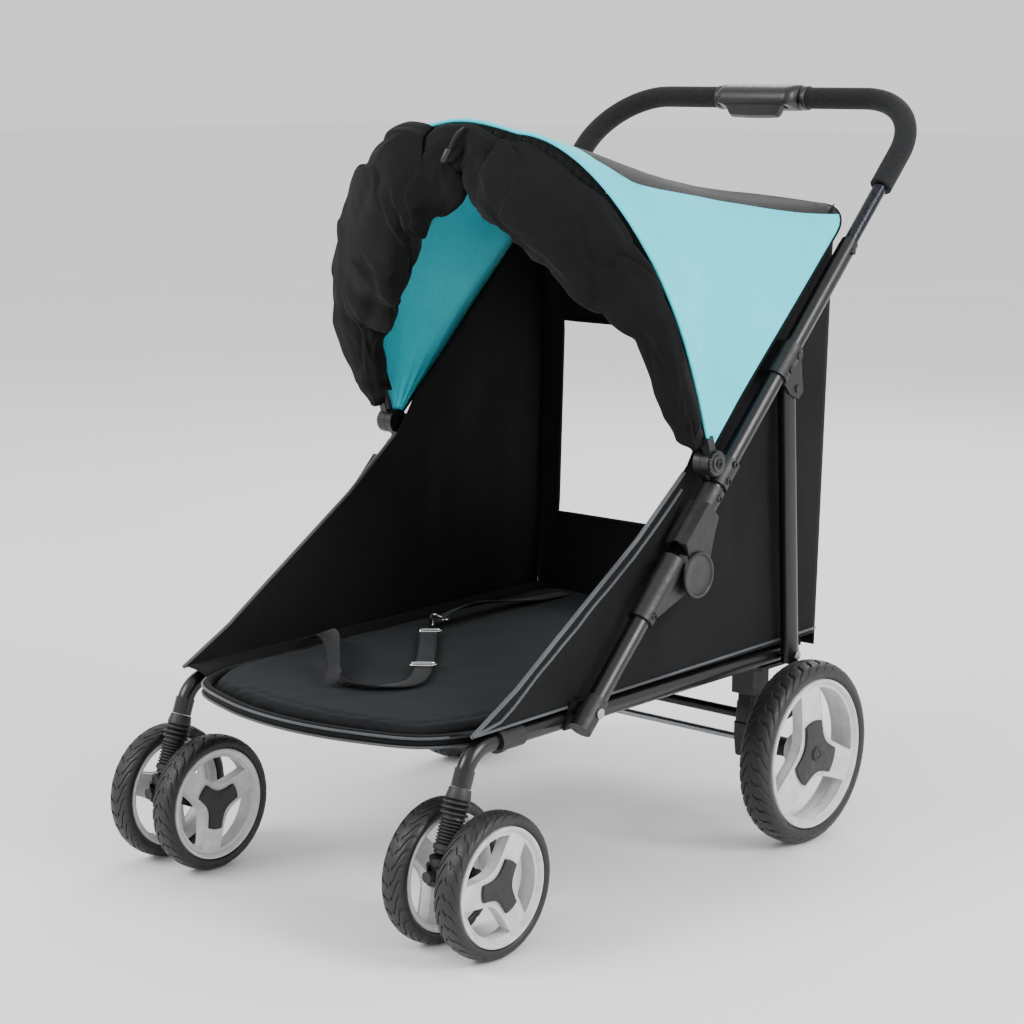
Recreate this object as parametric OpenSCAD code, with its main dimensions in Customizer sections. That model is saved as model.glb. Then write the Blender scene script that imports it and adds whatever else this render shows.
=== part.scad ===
// Folding pet stroller: tube frame on twin front casters and two fixed rear
// wheels, a fabric cabin with a fan canopy, and a height-adjustable handle.
// +X is to one side, the front is towards -Y and +Z is up.

/* [Wheels] */
// Outer diameter of a rear wheel
rear_wheel_d = 250; // [220:1:256]
// Tyre width of a rear wheel
rear_wheel_w = 46; // [40:1:50]
// Diameter where the rear tyre sits on its rim
rear_rim_d = 205; // [180:1:210]
// Outer diameter of a front wheel
front_wheel_d = 179; // [150:1:182]
// Tyre width of a front wheel
front_wheel_w = 35.4; // [28:0.2:37]
// Diameter where the front tyre sits on its rim
front_rim_d = 148; // [120:1:152]
// Distance between the rear wheels' centre planes
rear_track = 624; // [618:1:640]
// Distance between the two swivel axes
caster_track = 496; // [492:1:500]
// Distance between the two wheels of one caster
caster_pair = 84; // [82:1:90]
// Distance from the rear axle forward to the front axles
wheelbase = 606; // [596:1:616]
// Distance that a front axle trails behind its swivel axis
caster_trail = 45; // [40:1:50]

/* [Base] */
// Diameter of the side rail tube
rail_d = 22; // [20:0.5:22]
// Height of the side rails' axes
rail_z = 246; // [245:0.5:248]
// Thickness of the floor board
board_t = 6; // [4:0.5:7]
// Thickness of the padded floor mat
mat_t = 18; // [12:1:22]

/* [Folding frame] */
// Distance between the two main tubes' axes
main_track = 560; // [558:1:564]
// Tilt of the main tubes away from upright
main_tilt = 45.2; // [44.8:0.1:45.6]
// Diameter of the outer main tubes
main_d = 25; // [24:0.5:25]
// Diameter of the telescoping handle tube
handle_d = 19; // [17:0.5:19.5]
// Diameter of the foam grip
foam_d = 31; // [28:0.5:33]
// Radius of the handle's bends
handle_bend_r = 104; // [90:1:110]
// Diameter of the rear legs
leg_d = 24; // [20:0.5:24]

/* [Canopy] */
// Height of the front arch above its hinges
arch_h = 440; // [420:1:445]
// Angle of the front arch, from straight back
arch_angle = 109.5; // [106:0.5:112]
// Fabric thickness of the canopy
canopy_t = 3; // [2:0.5:4]

/* [Cabin] */
// Thickness of the side and rear fabric walls
wall_t = 4; // [3:0.5:4]
// Width of the rear window
window_w = 440; // [380:10:450]

/* [Hidden] */
$fn = 48;

// A gap between pieces that move past each other
play = 0.5;
// Radial play of a shaft in its bore
fit = 0.05;

// Wheels and axles
rear_r = rear_wheel_d / 2;
front_r = front_wheel_d / 2;
rear_x = rear_track / 2;
caster_x = caster_track / 2;
front_axle_y = -wheelbase;
swivel_y = -wheelbase - caster_trail;
axle_d = 10;

// Main tube line: a point on it at the top of the fold housing
main_x = main_track / 2;
main_y0 = -171;
main_z0 = 503;
bar_s = 692;
bar_y = main_y0 + bar_s * sin(main_tilt);

// The frame is centred lengthways between the front wheels and the grip
front_end = wheelbase + front_r;
rear_end = bar_y + foam_d / 2;
axle_y = (front_end - rear_end) / 2;

// Places along the main tube line (s) and below it (n)
pivot_a_s = -345;
lower_end_s = -373;
knee_s = -112;
knee_n = 36.5;
leg_s = 201.5;
leg_n = 39.5;
upper_end_s = 424;
foam_s = 527;
grip_gap = 80;
hinge_s = 18;
hinge_n = -34;

cap_d = main_d + 5;

// Rear leg line
leg_x = 272;
leg_foot_y = 20;
leg_foot_z = 250;
leg_top_y = main_y0 + leg_s * sin(main_tilt) + leg_n * cos(main_tilt);
leg_top_z = main_z0 + leg_s * cos(main_tilt) - leg_n * sin(main_tilt);

// Base
rail_x = 248;
rail_front_y = -536;
rail_back_y = 62;
bend_y = rail_front_y - 34;
rail_bend_r = 42;
stem_lean = 21;
stem_socket = 18;
stem_top_y = bend_y - rail_bend_r * cos(stem_lean) - stem_socket * sin(stem_lean);
stem_top_z = rail_z - rail_bend_r * (1 - sin(stem_lean)) - stem_socket * cos(stem_lean);
stem_length = 76;
stem_foot_z = stem_top_z - stem_length * cos(stem_lean);
sleeve_x = 222;
board_z = 240;
floor_w = 463;
lip_w = 5;
mat_z = board_z + board_t + play;

// Cabin outline, from the front corner back along the entry edge
panel_x = 252;
panel_z = 262;
wall_y = 118;
wall_top_y = 136;
wall_top_z = 832;
window_low_z = 372;
window_top_z = 668;

// Canopy arches: half width, corner reach sideways and up, crown
hinge_y = main_y0 + hinge_s * sin(main_tilt) + hinge_n * cos(main_tilt);
hinge_z = main_z0 + hinge_s * cos(main_tilt) - hinge_n * sin(main_tilt);
front_arch = [288, arch_h, 200, 340, 15, 0.16, 0.86];
rear_arch = [272, 452, 50, 50, 32, 0.56, 0.68];
rear_arch_angle = 43.4;
shell_start = 0.09;

// ---- shared shapes ----

// Puts a sub-part that is drawn from the rear axle line into the object's frame
module part(c) {
    color(c) translate([0, axle_y, 0]) children();
}

module both_sides() {
    children();
    mirror([1, 0, 0]) children();
}

// Left is the mirror image of right
module side(left) {
    if (left) mirror([1, 0, 0]) children();
    else children();
}

// Local z runs up the main tube, local y points below it, x stays
module on_main_tube(x = main_x) {
    translate([x, main_y0, main_z0]) rotate([-main_tilt, 0, 0]) children();
}

module bar_x(x0, x1, d) {
    translate([x0, 0, 0]) rotate([0, 90, 0]) cylinder(h = x1 - x0, d = d);
}

module rod(p, q, d) {
    v = q - p;
    h = norm(v);
    translate(p) rotate([0, acos(v.z / h), atan2(v.y, v.x)]) cylinder(h = h, d = d);
}

module ring(od, id, h) {
    difference() {
        cylinder(h = h, d = od);
        translate([0, 0, -1]) cylinder(h = h + 2, d = id);
    }
}

// A plate in the y-z plane between two x values
module side_plate(x0, x1, points) {
    translate([x0, 0, 0]) rotate([90, 0, 90]) linear_extrude(x1 - x0) polygon(points);
}

// Skin between a grid of outer points and a grid of inner points
module shell_grid(outer, inner) {
    m = len(outer);
    k = len(outer[0]);
    points = concat([for (row = outer) each row], [for (row = inner) each row]);
    function at(i, j) = i * k + j;
    function below(i, j) = m * k + i * k + j;
    quads = concat(
        [for (i = [0 : m - 2], j = [0 : k - 2])
            [at(i, j), at(i, j + 1), at(i + 1, j + 1), at(i + 1, j)]],
        [for (i = [0 : m - 2], j = [0 : k - 2])
            [below(i, j), below(i + 1, j), below(i + 1, j + 1), below(i, j + 1)]],
        [for (i = [0 : m - 2]) [at(i, 0), at(i + 1, 0), below(i + 1, 0), below(i, 0)]],
        [for (i = [0 : m - 2])
            [at(i, k - 1), below(i, k - 1), below(i + 1, k - 1), at(i + 1, k - 1)]],
        [for (j = [0 : k - 2]) [at(0, j), below(0, j), below(0, j + 1), at(0, j + 1)]],
        [for (j = [0 : k - 2])
            [at(m - 1, j), at(m - 1, j + 1), below(m - 1, j + 1), below(m - 1, j)]]
    );
    polyhedron(points, quads, convexity = 6);
}

// Tube of changing radius along a list of points
module sweep(path, radii, sides) {
    n = len(path);
    function along(i) = path[min(i + 1, n - 1)] - path[max(i - 1, 0)];
    function unit(v) = v / norm(v);
    function ring_point(i, k) =
        let (t = unit(along(i)),
             u = unit(cross(t, abs(t.x) < 0.9 ? [1, 0, 0] : [0, -0.9, -0.4])),
             v = cross(t, u), a = 360 * k / sides)
        path[i] + radii[i] * (cos(a) * u + sin(a) * v);
    points = [for (i = [0 : n - 1], k = [0 : sides - 1]) ring_point(i, k)];
    faces = concat(
        [[for (k = [0 : sides - 1]) k]],
        [for (i = [0 : n - 2], k = [0 : sides - 1])
            [i * sides + k, (i + 1) * sides + k,
             (i + 1) * sides + (k + 1) % sides, i * sides + (k + 1) % sides]],
        [[for (k = [sides - 1 : -1 : 0]) (n - 1) * sides + k]]
    );
    polyhedron(points, faces, convexity = 8);
}

// ---- wheels ----

module tyre(d, w, seat) {
    crown = w * 0.3;
    rotate_extrude($fn = 96) difference() {
        union() {
            translate([seat / 2, -w / 2 + 3]) square([d / 2 - seat / 2 - crown, w - 6]);
            intersection() {
                translate([d / 2 - w * 0.62, 0]) circle(d = w * 1.24, $fn = 60);
                translate([seat / 2, -w / 2]) square([d / 2 - seat / 2, w]);
            }
        }
        translate([seat / 2 - 1, -w / 4]) square([3, w / 2]);
    }
}

module rim(d, w, hub_d, turn) {
    barrel = d / 2 - 9;
    difference() {
        union() {
            rotate_extrude($fn = 96) polygon([
                [d / 2 - 0.4, -w / 2 + 3], [d / 2 - 0.4, w / 2 - 3], [barrel, w / 2 - 1],
                [barrel - 3, w / 2 - 4], [barrel + 2, w / 2 - 8], [barrel + 2, -w / 2 + 8],
                [barrel - 3, -w / 2 + 4], [barrel, -w / 2 + 1]]);
            translate([0, 0, -w / 2 + 2]) cylinder(h = w - 8, d = hub_d);
            for (k = [0 : 2]) rotate(turn + 120 * k)
                translate([0, 0, w / 2 - 18]) linear_extrude(11) polygon([
                    [0, -hub_d * 0.34], [barrel + 3, -hub_d * 0.62],
                    [barrel + 3, hub_d * 0.62], [0, hub_d * 0.34]]);
        }
        translate([0, 0, -w]) cylinder(h = 2 * w, d = axle_d + 2 * fit);
    }
}

// Three-lobed hub cap with hollow sides
module hub_cap(reach, lobe, w, turn) {
    translate([0, 0, w / 2 - 6]) rotate(turn) linear_extrude(5) difference() {
        union() {
            circle(r = reach * 0.62);
            for (k = [0 : 2]) rotate(120 * k) {
                translate([0, -lobe / 2]) square([reach, lobe]);
                translate([reach, 0]) circle(d = lobe);
            }
        }
        for (k = [0 : 2]) rotate(60 + 120 * k) translate([reach * 1.28, 0]) circle(r = reach * 0.82);
    }
}

// Wheel parts are drawn about local z, with the cap's side towards +z
module wheel_place(x, y, z, outward) {
    translate([x, y, z]) rotate([0, outward * 90, 0]) children();
}

module rear_wheel(piece, left, turn) {
    side(left) wheel_place(rear_x, 0, rear_r, 1) {
        if (piece == "tyre") tyre(rear_wheel_d, rear_wheel_w, rear_rim_d);
        if (piece == "rim") rim(rear_rim_d, rear_wheel_w, 44, turn);
        if (piece == "cap") hub_cap(34, 17, rear_wheel_w, turn);
    }
}

// place is 1 for the wheel outside its caster and -1 for the one inside
module front_wheel(piece, left, place, turn) {
    x = caster_x + place * caster_pair / 2;
    side(left) wheel_place(x, front_axle_y, front_r, place) {
        if (piece == "tyre") tyre(front_wheel_d, front_wheel_w, front_rim_d);
        if (piece == "rim") rim(front_rim_d, front_wheel_w, 36, turn);
        if (piece == "cap") hub_cap(25, 13, front_wheel_w, turn);
    }
}

rubber = "#2b2d2e";
rim_grey = "#c9c9c9";
module rear_tyre_right() part(rubber) rear_wheel("tyre", false, 0);
module rear_tyre_left() part(rubber) rear_wheel("tyre", true, 0);
module rear_rim_right() part(rim_grey) rear_wheel("rim", false, 165);
module rear_rim_left() part(rim_grey) rear_wheel("rim", true, 40);
module rear_cap_right() part(rubber) rear_wheel("cap", false, 165);
module rear_cap_left() part(rubber) rear_wheel("cap", true, 40);
module front_tyre_right_outer() part(rubber) front_wheel("tyre", false, 1, 0);
module front_tyre_right_inner() part(rubber) front_wheel("tyre", false, -1, 0);
module front_tyre_left_outer() part(rubber) front_wheel("tyre", true, 1, 0);
module front_tyre_left_inner() part(rubber) front_wheel("tyre", true, -1, 0);
module front_rim_right_outer() part(rim_grey) front_wheel("rim", false, 1, 30);
module front_rim_right_inner() part(rim_grey) front_wheel("rim", false, -1, 75);
module front_rim_left_outer() part(rim_grey) front_wheel("rim", true, 1, 10);
module front_rim_left_inner() part(rim_grey) front_wheel("rim", true, -1, 52);
module front_cap_right_outer() part(rubber) front_wheel("cap", false, 1, 30);
module front_cap_right_inner() part(rubber) front_wheel("cap", false, -1, 75);
module front_cap_left_outer() part(rubber) front_wheel("cap", true, 1, 10);
module front_cap_left_inner() part(rubber) front_wheel("cap", true, -1, 52);

// ---- base ----

steel_black = "#1b1c1e";
plastic_black = "#232426";
cloth_black = "#1d1e20";

// Straight rail, a bend down to the caster, and the spring strut's socket
module side_rails() part(steel_black) both_sides() {
    translate([rail_x, rail_back_y, rail_z]) rotate([90, 0, 0]) difference() {
        cylinder(h = rail_back_y - bend_y, d = rail_d);
        translate([0, 0, -1]) cylinder(h = 40, d = rail_d - 4);
    }
    translate([rail_x, bend_y, rail_z - rail_bend_r]) {
        rotate([180, -90, 0]) rotate_extrude(angle = 90 - stem_lean)
            translate([rail_bend_r, 0]) circle(d = rail_d);
        rotate([-stem_lean, 0, 0]) translate([0, -rail_bend_r, -stem_socket]) difference() {
            cylinder(h = stem_socket + 4, d = rail_d + 3);
            translate([0, 0, -1]) cylinder(h = stem_socket + 1, d = rail_d - 6);
        }
    }
}

module rail_collars() part(plastic_black) both_sides()
    translate([rail_x, rail_front_y + 24, rail_z]) rotate([90, 0, 0]) {
        ring(rail_d + 6, rail_d + 2 * fit, 36);
        translate([0, 0, 36]) ring(rail_d + 9, rail_d + 2 * fit, 8);
    }

// Lugs that carry the feet of the main tubes and of the rear legs
module pivot_brackets() part(plastic_black) both_sides() {
    on_main_tube(0) translate([0, 0, pivot_a_s])
        bar_x(rail_x + rail_d / 2, main_x - cap_d / 2 - play, 20);
    pivot_y = main_y0 + pivot_a_s * sin(main_tilt);
    pivot_z = main_z0 + pivot_a_s * cos(main_tilt);
    difference() {
        side_plate(rail_x + rail_d / 2 - 2, rail_x + rail_d / 2 + 2, [
            [pivot_y - 26, rail_z - 9], [pivot_y + 26, rail_z - 9],
            [pivot_y + 12, pivot_z + 11], [pivot_y - 12, pivot_z + 11]]);
        translate([rail_x, pivot_y + 60, rail_z]) rotate([90, 0, 0]) cylinder(h = 120, d = rail_d + 0.2);
    }
    translate([sleeve_x - 17, -22, rail_z - rail_d / 2 - 4.5]) cube([51, 58, 4.5]);
}

module pivot_pins() part("#8d9092") both_sides() {
    on_main_tube(0) translate([0, 0, pivot_a_s]) {
        bar_x(main_x - cap_d / 2 - play, main_x + cap_d / 2 + play, 8);
        bar_x(main_x + cap_d / 2 + play, main_x + cap_d / 2 + play + 2, 13);
    }
    translate([0, leg_foot_y, leg_foot_z]) {
        bar_x(rail_x + rail_d / 2 - 0.6, leg_x + leg_d / 2 + 0.6, 8);
        bar_x(leg_x + leg_d / 2 + 0.6, leg_x + leg_d / 2 + 2.6, 12);
    }
}

module rear_spring_sleeves() part(plastic_black) both_sides()
    translate([sleeve_x, 0, rail_z - rail_d / 2 - 4.5 - 38]) difference() {
        translate([-18, -18, 0]) cube([36, 36, 38]);
        translate([-13.5, -13.5, -1]) cube([27, 27, 36]);
    }

// Outline of the floor, with its front bowed forward
module floor_outline(w, back_y, grow) {
    polygon([
        [-w, back_y], [w, back_y], [w, -520], [w - 3, -556 - grow], [206, -604 - grow],
        [170, -628 - grow], [100, -652 - grow], [50, -662 - grow], [0, -665 - grow],
        [-50, -662 - grow], [-100, -652 - grow], [-170, -628 - grow], [-206, -604 - grow],
        [3 - w, -556 - grow]]);
}

module floor_board() part(cloth_black) difference() {
    union() {
        translate([0, 0, board_z]) linear_extrude(board_t) floor_outline(floor_w / 2, 104, 8);
        translate([0, 0, board_z + board_t]) linear_extrude(10) difference() {
            floor_outline(floor_w / 2, 104, 8);
            floor_outline(floor_w / 2 - lip_w, 96, 0);
        }
    }
}

module floor_mat() part("#2a2d31")
    translate([0, 0, mat_z]) linear_extrude(mat_t) floor_outline(floor_w / 2 - lip_w - 1.5, 92, -3);

module side_panels() part(cloth_black) both_sides()
    side_plate(panel_x, panel_x + wall_t, [
        [-604, panel_z], [-523, 305], [-450, 353], [-374, 402], [-295, 453], [-193, 519],
        [-150, 556], [wall_top_y - 8, wall_top_z - 4], [wall_top_y - 10, wall_top_z - 60],
        [wall_y - 22, 294], [70, panel_z]]);

module rear_wall() part(cloth_black) {
    low_y = wall_y - 14;
    rise = wall_top_z - panel_z;
    lean = atan2(wall_top_y - 6 - low_y, rise);
    half = panel_x - 0.6;
    difference() {
        side_plate(-half, half, [
            [low_y, panel_z], [low_y + wall_t, panel_z],
            [wall_top_y - 6, wall_top_z], [wall_top_y - 6 - wall_t, wall_top_z]]);
        translate([-window_w / 2, 0, window_low_z]) cube([window_w, 2 * wall_top_y, window_top_z - window_low_z]);
    }
}

module tether_strap() part("#17181a") {
    translate([-30, -300, mat_z + mat_t + play]) rotate(-62) translate([-75, -12, 0]) cube([150, 24, 2]);
    translate([-12, -410, mat_z + mat_t + play]) rotate(-20) translate([-45, -12, 0]) cube([90, 24, 2]);
}

module tether_hardware() part("silver") {
    translate([-50, -246, mat_z + mat_t + 3.5]) ring(30, 20, 4);
    translate([24, -380, mat_z + mat_t + 3.5]) linear_extrude(3) difference() {
        square([34, 30], center = true);
        translate([0, 7]) square([25, 6], center = true);
        translate([0, -7]) square([25, 6], center = true);
    }
}

// ---- suspension ----

// Local z runs up the leaning spring strut from its foot
module on_strut() {
    translate([caster_x, stem_top_y, stem_top_z]) rotate([-stem_lean, 0, 0])
        translate([0, 0, -stem_length]) children();
}

module front_bellows() part(plastic_black) both_sides() on_strut() {
    ribs = 11;
    pitch = (stem_length - 9) / ribs;
    outer = concat([[13, 1], [13, 4]], [for (k = [0 : ribs - 1]) each [
        [13, 4 + pitch * (k + 0.05)], [17, 4 + pitch * (k + 0.5)], [13, 4 + pitch * (k + 0.95)]]],
        [[13, stem_length - 4.8], [13, stem_length - play]]);
    inner = [for (k = [len(outer) - 1 : -1 : 0]) [outer[k].x - 1.8, outer[k].y]];
    rotate_extrude() polygon(concat(outer, inner));
}

module spring(h, r, wire, turns) {
    steps = turns * 10;
    sweep([for (k = [0 : steps]) [r * cos(36 * k), r * sin(36 * k), h * k / steps]],
          [for (k = [0 : steps]) wire / 2], 6);
}

module front_springs() part("#7d8083") both_sides() on_strut()
    translate([0, 0, 3]) spring(stem_length - 8, 8.2, 2.2, 7);

module rear_springs() part("#7d8083") both_sides()
    translate([sleeve_x, 0, 206.5]) spring(19, 7, 2.2, 3);

module front_stem(left) {
    side(left) {
        on_strut() {
            translate([0, 0, -4]) cylinder(h = stem_length + 3.5, d = 11);
            translate([0, 0, -4]) cylinder(h = 4, d = 27);
        }
        translate([caster_x, swivel_y, 118]) cylinder(h = stem_foot_z - 122, d = 27);
        translate([caster_x, swivel_y, 100]) cylinder(h = 24, d = 10);
    }
}

module front_stem_right() part(plastic_black) front_stem(false);
module front_stem_left() part(plastic_black) front_stem(true);

module caster_fork(left) {
    side(left) translate([caster_x, 0, 0]) {
        difference() {
            union() {
                translate([0, swivel_y, 94]) cylinder(h = 23.5, d = 34);
                side_plate(-12, 12, [
                    [swivel_y, 95], [swivel_y, 117.5], [front_axle_y - 8, 112],
                    [front_axle_y + 11, front_r + 6], [front_axle_y + 11, front_r - 8],
                    [front_axle_y - 8, front_r - 12]]);
                translate([0, front_axle_y, front_r]) bar_x(-15, 15, 26);
            }
            translate([0, swivel_y, 98]) cylinder(h = 40, d = 10 + 2 * fit);
            translate([-7, swivel_y - 18, 100]) cube([14, 8, 40]);
        }
        translate([0, front_axle_y, front_r]) {
            reach = caster_pair / 2 + front_wheel_w / 2 - 6.5;
            bar_x(-reach, reach, axle_d);
        }
    }
}

module caster_fork_right() part(plastic_black) caster_fork(false);
module caster_fork_left() part(plastic_black) caster_fork(true);

module swivel_lock(left) {
    side(left) translate([caster_x, swivel_y - 17.6, 101]) {
        translate([-6.6, -2, 0]) cube([13.2, 9, 10]);
        translate([0, -2, 6]) rotate([90, 0, 0]) cylinder(h = 5, d = 14);
    }
}

module swivel_lock_right() part("#34363a") swivel_lock(false);
module swivel_lock_left() part("#34363a") swivel_lock(true);

module rear_axle_blocks() part(plastic_black) both_sides() difference() {
    union() {
        translate([sleeve_x - 17, -17, 104]) cube([34, 34, 76]);
        translate([sleeve_x - 13, -13, 180]) cube([26, 26, 25]);
        translate([0, 0, rear_r]) bar_x(sleeve_x + 17, rear_x - rear_wheel_w / 2 - 1, 26);
    }
    translate([0, 0, rear_r]) bar_x(100, 400, axle_d + 2 * fit);
    translate([0, 0, rear_r + 34]) bar_x(100, 400, 14 + 2 * fit);
}

module rear_axle_rod() part("#8d9092") translate([0, 0, rear_r])
    bar_x(-rear_x - rear_wheel_w / 2 + 6.5, rear_x + rear_wheel_w / 2 - 6.5, axle_d);

module brake_bar() part(steel_black) {
    translate([0, 0, rear_r + 34]) {
        bar_x(-264, 264, 14);
        both_sides() difference() {
            side_plate(242, 264, [[-9, -8], [34, -4], [66, 2], [66, 9], [34, 6], [-9, 9]]);
            bar_x(200, 300, 13.9);
        }
    }
}

// ---- folding frame ----

module lower_tubes() part(steel_black) both_sides() on_main_tube() difference() {
    translate([0, 0, lower_end_s + 14]) cylinder(h = knee_s - 8 - lower_end_s - 14, d = main_d);
    translate([0, 0, lower_end_s]) cylinder(h = knee_s - lower_end_s + 20, d = main_d - 3);
    translate([0, 0, pivot_a_s]) bar_x(-20, 20, 8 + 2 * fit);
}

module lower_end_caps() part(plastic_black) both_sides() on_main_tube()
    difference() {
        translate([0, 0, lower_end_s]) cylinder(h = 46, d = cap_d);
        translate([0, 0, lower_end_s + 14]) cylinder(h = 46, d = main_d + 2 * fit);
        translate([0, 0, pivot_a_s]) bar_x(-20, 20, 8 + 2 * fit);
    }

// Sleeve with a lug that turns on the knee pin
module lower_fold_sleeves() part(plastic_black) both_sides() on_main_tube() difference() {
    union() {
        translate([0, 0, -208]) cylinder(h = 208 + knee_s - 1, d = main_d + 8);
        side_plate(-9, 9, [[0, -200], [16, -190], [knee_n + 17, knee_s + 3],
                           [knee_n + 10, knee_s + 12], [knee_n - 6, knee_s + 12], [14, knee_s - 2], [0, knee_s - 2]]);
    }
    translate([0, 0, -214]) cylinder(h = 208, d = main_d + 2 * fit);
    translate([0, knee_n, knee_s]) bar_x(-20, 20, 10 + 2 * fit);
}

module upper_tubes() part(steel_black) both_sides() on_main_tube() difference() {
    translate([0, 0, -84]) cylinder(h = upper_end_s + 84, d = main_d);
    translate([0, 0, -86]) cylinder(h = upper_end_s + 90, d = handle_d + 1.4);
    translate([0, 0, upper_end_s - 16]) bar_x(0, 20, 8.4);
}

// Cheeks of the knee, one each side of the lug, and the sleeve above it
module fold_housings() part(plastic_black) both_sides() on_main_tube() {
    cheek = [[-15, -96], [6, knee_s + 6], [knee_n - 14, knee_s - 10], [knee_n, knee_s - 19],
             [knee_n + 16, knee_s - 10], [knee_n + 17, knee_s + 8], [24, -52], [15, -30], [-15, -30]];
    difference() {
        union() {
            translate([0, 0, -94]) cylinder(h = 94, d = main_d + 8);
            difference() {
                side_plate(-15.5, 18.5, cheek);
                side_plate(-10, 10, [[-30, -180], [knee_n + 40, -180], [knee_n + 40, knee_s + 46],
                                     [14, knee_s + 46], [14, knee_s + 14], [-30, knee_s + 14]]);
                cylinder(h = 500, d = main_d + 7, center = true);
            }
        }
        translate([0, 0, -94.5]) cylinder(h = 100, d = main_d + 2 * fit);
        translate([0, 0, -214]) cylinder(h = 214 + knee_s + 0.5, d = main_d + 9);
    }
    translate([0, knee_n, knee_s]) bar_x(-15.5, 18.5, 10);
}

module fold_medallions() part("#101113") both_sides() on_main_tube()
    translate([19, knee_n - 5, knee_s + 2]) rotate([0, 90, 0]) {
        cylinder(h = 3, d = 60);
        translate([0, 0, 3]) ring(60, 52, 1.5);
    }

// Sleeve on the main tube with a cheek each side of the leg's top
module leg_brackets() part(plastic_black) both_sides() {
    cheek = [[-13, leg_s - 14], [leg_n - 8, leg_s - 16], [leg_n + 12, leg_s - 8],
             [leg_n + 13, leg_s + 6], [leg_n - 2, leg_s + 17], [10, leg_s + 38], [-13, leg_s + 38]];
    difference() {
        on_main_tube(0) {
            translate([main_x, 0, leg_s - 14]) cylinder(h = 52, d = main_d + 7);
            side_plate(leg_x - leg_d / 2 - 3.4, leg_x - leg_d / 2 - 1, cheek);
            side_plate(leg_x + leg_d / 2 + 1, leg_x + leg_d / 2 + 6, cheek);
            side_plate(leg_x - leg_d / 2 - 3.4, main_x + 10, [
                [-13, leg_s - 14], [14, leg_s - 14], [14, leg_s + 38], [-13, leg_s + 38]]);
        }
        on_main_tube() cylinder(h = 500, d = main_d + 2 * fit);
    }
    screw_d = 11;
    on_main_tube(0) {
        translate([0, leg_n, leg_s]) bar_x(leg_x + leg_d / 2 + 6, leg_x + leg_d / 2 + 8, screw_d);
        for (s = [leg_s + 4, leg_s + 28])
            translate([0, 4, s]) bar_x(main_x + main_d / 2 + 1, main_x + main_d / 2 + 5, screw_d);
    }
}

module rear_legs() part(steel_black) both_sides() {
    foot = [leg_x, leg_foot_y, leg_foot_z];
    top = [leg_x, leg_top_y, leg_top_z];
    difference() {
        rod(foot + (foot - top) * 0.03, top + (top - foot) * 0.03, leg_d);
        rod(foot - [0, 0, 16], top + (top - foot) * 0.05, leg_d - 3);
        translate([0, leg_foot_y, leg_foot_z]) bar_x(200, 300, 8 + 2 * fit);
    }
}

// One side of the handle's bent line, from a place on the main tube to one on the cross bar
module handle_line(low, bar_end, d) {
    bend_x = main_x - handle_bend_r;
    bend_s = bar_s - handle_bend_r;
    on_main_tube(0) {
        translate([main_x, 0, low]) cylinder(h = bend_s - low, d = d);
        translate([bend_x, 0, bend_s]) rotate([90, 0, 0])
            rotate_extrude(angle = 90) translate([handle_bend_r, 0]) circle(d = d);
        translate([0, 0, bar_s]) bar_x(bar_end, bend_x, d);
    }
}

module handle_tube() part("#2c2e31") difference() {
    both_sides() handle_line(300, 0, handle_d);
    both_sides() on_main_tube() translate([0, 0, upper_end_s - 16]) bar_x(0, 20, 8);
}

module foam_grip() part("#161719") both_sides() difference() {
    handle_line(foam_s, grip_gap, foam_d);
    handle_line(foam_s - 1, grip_gap - 1, handle_d + 2 * fit);
}

// Local frame of the handle's cross bar: x along it, z upwards
module on_bar() {
    translate([0, bar_y, main_z0 + bar_s * cos(main_tilt)]) children();
}

module console() part("#1e2022") on_bar() difference() {
    union() {
        rotate([0, 90, 0]) translate([0, 0, -79]) cylinder(h = 158, d = 38);
        translate([-62, -32, -14]) cube([124, 32, 26]);
    }
    bar_x(-100, 100, handle_d + 2 * fit);
    translate([-52, -34, -20]) cube([104, 20, 28]);
}

module fold_trigger() part("#151617") on_bar()
    translate([-50, -31, -30]) cube([100, 16, 30]);

module height_button(left) {
    side(left) on_main_tube() translate([0, 0, upper_end_s - 16]) {
        bar_x(handle_d / 2 + 0.3, main_d / 2 + 3, 7.6);
    }
}

module height_button_right() part("#3a3c40") height_button(false);
module height_button_left() part("#3a3c40") height_button(true);

// ---- canopy ----

// Point of an arch at t, from 0 at the hinge to 1 at the top centre
function arch_point(shape, inset, t) =
    let (a = shape[0] - inset, b = shape[1] - inset, cx = shape[2], cz = shape[3],
         t1 = shape[5], t2 = shape[6])
    t < t1 ? [a, (b - cz) * t / t1] :
    t < t2 ? let (w = 90 * (t - t1) / (t2 - t1)) [a - cx + cx * cos(w), b - cz + cz * sin(w)] :
    let (w = (t - t2) / (1 - t2)) [(a - cx) * (1 - w), b + shape[4] * sin(90 * w)];

// The same point in space, on a plane that leans at an angle from straight back
function arch_at(shape, inset, angle, t) =
    let (p = arch_point(shape, inset, 1 - abs(1 - t)), s = t > 1 ? -1 : 1)
    [s * p.x, hinge_y + p.y * cos(angle), hinge_z + p.y * sin(angle)];

function canopy_row(inset, u, steps) = [for (k = [0 : steps])
    let (t = shell_start + (2 - 2 * shell_start) * k / steps)
    (1 - u) * arch_at(front_arch, inset, arch_angle, t)
    + u * arch_at(rear_arch, inset, rear_arch_angle, t)];

module canopy_shell() part("#8fe0ee") {
    rows = 7;
    shell_grid([for (i = [0 : rows]) canopy_row(0, i / rows, 40)],
               [for (i = [0 : rows]) canopy_row(canopy_t, i / rows, 40)]);
}

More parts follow.
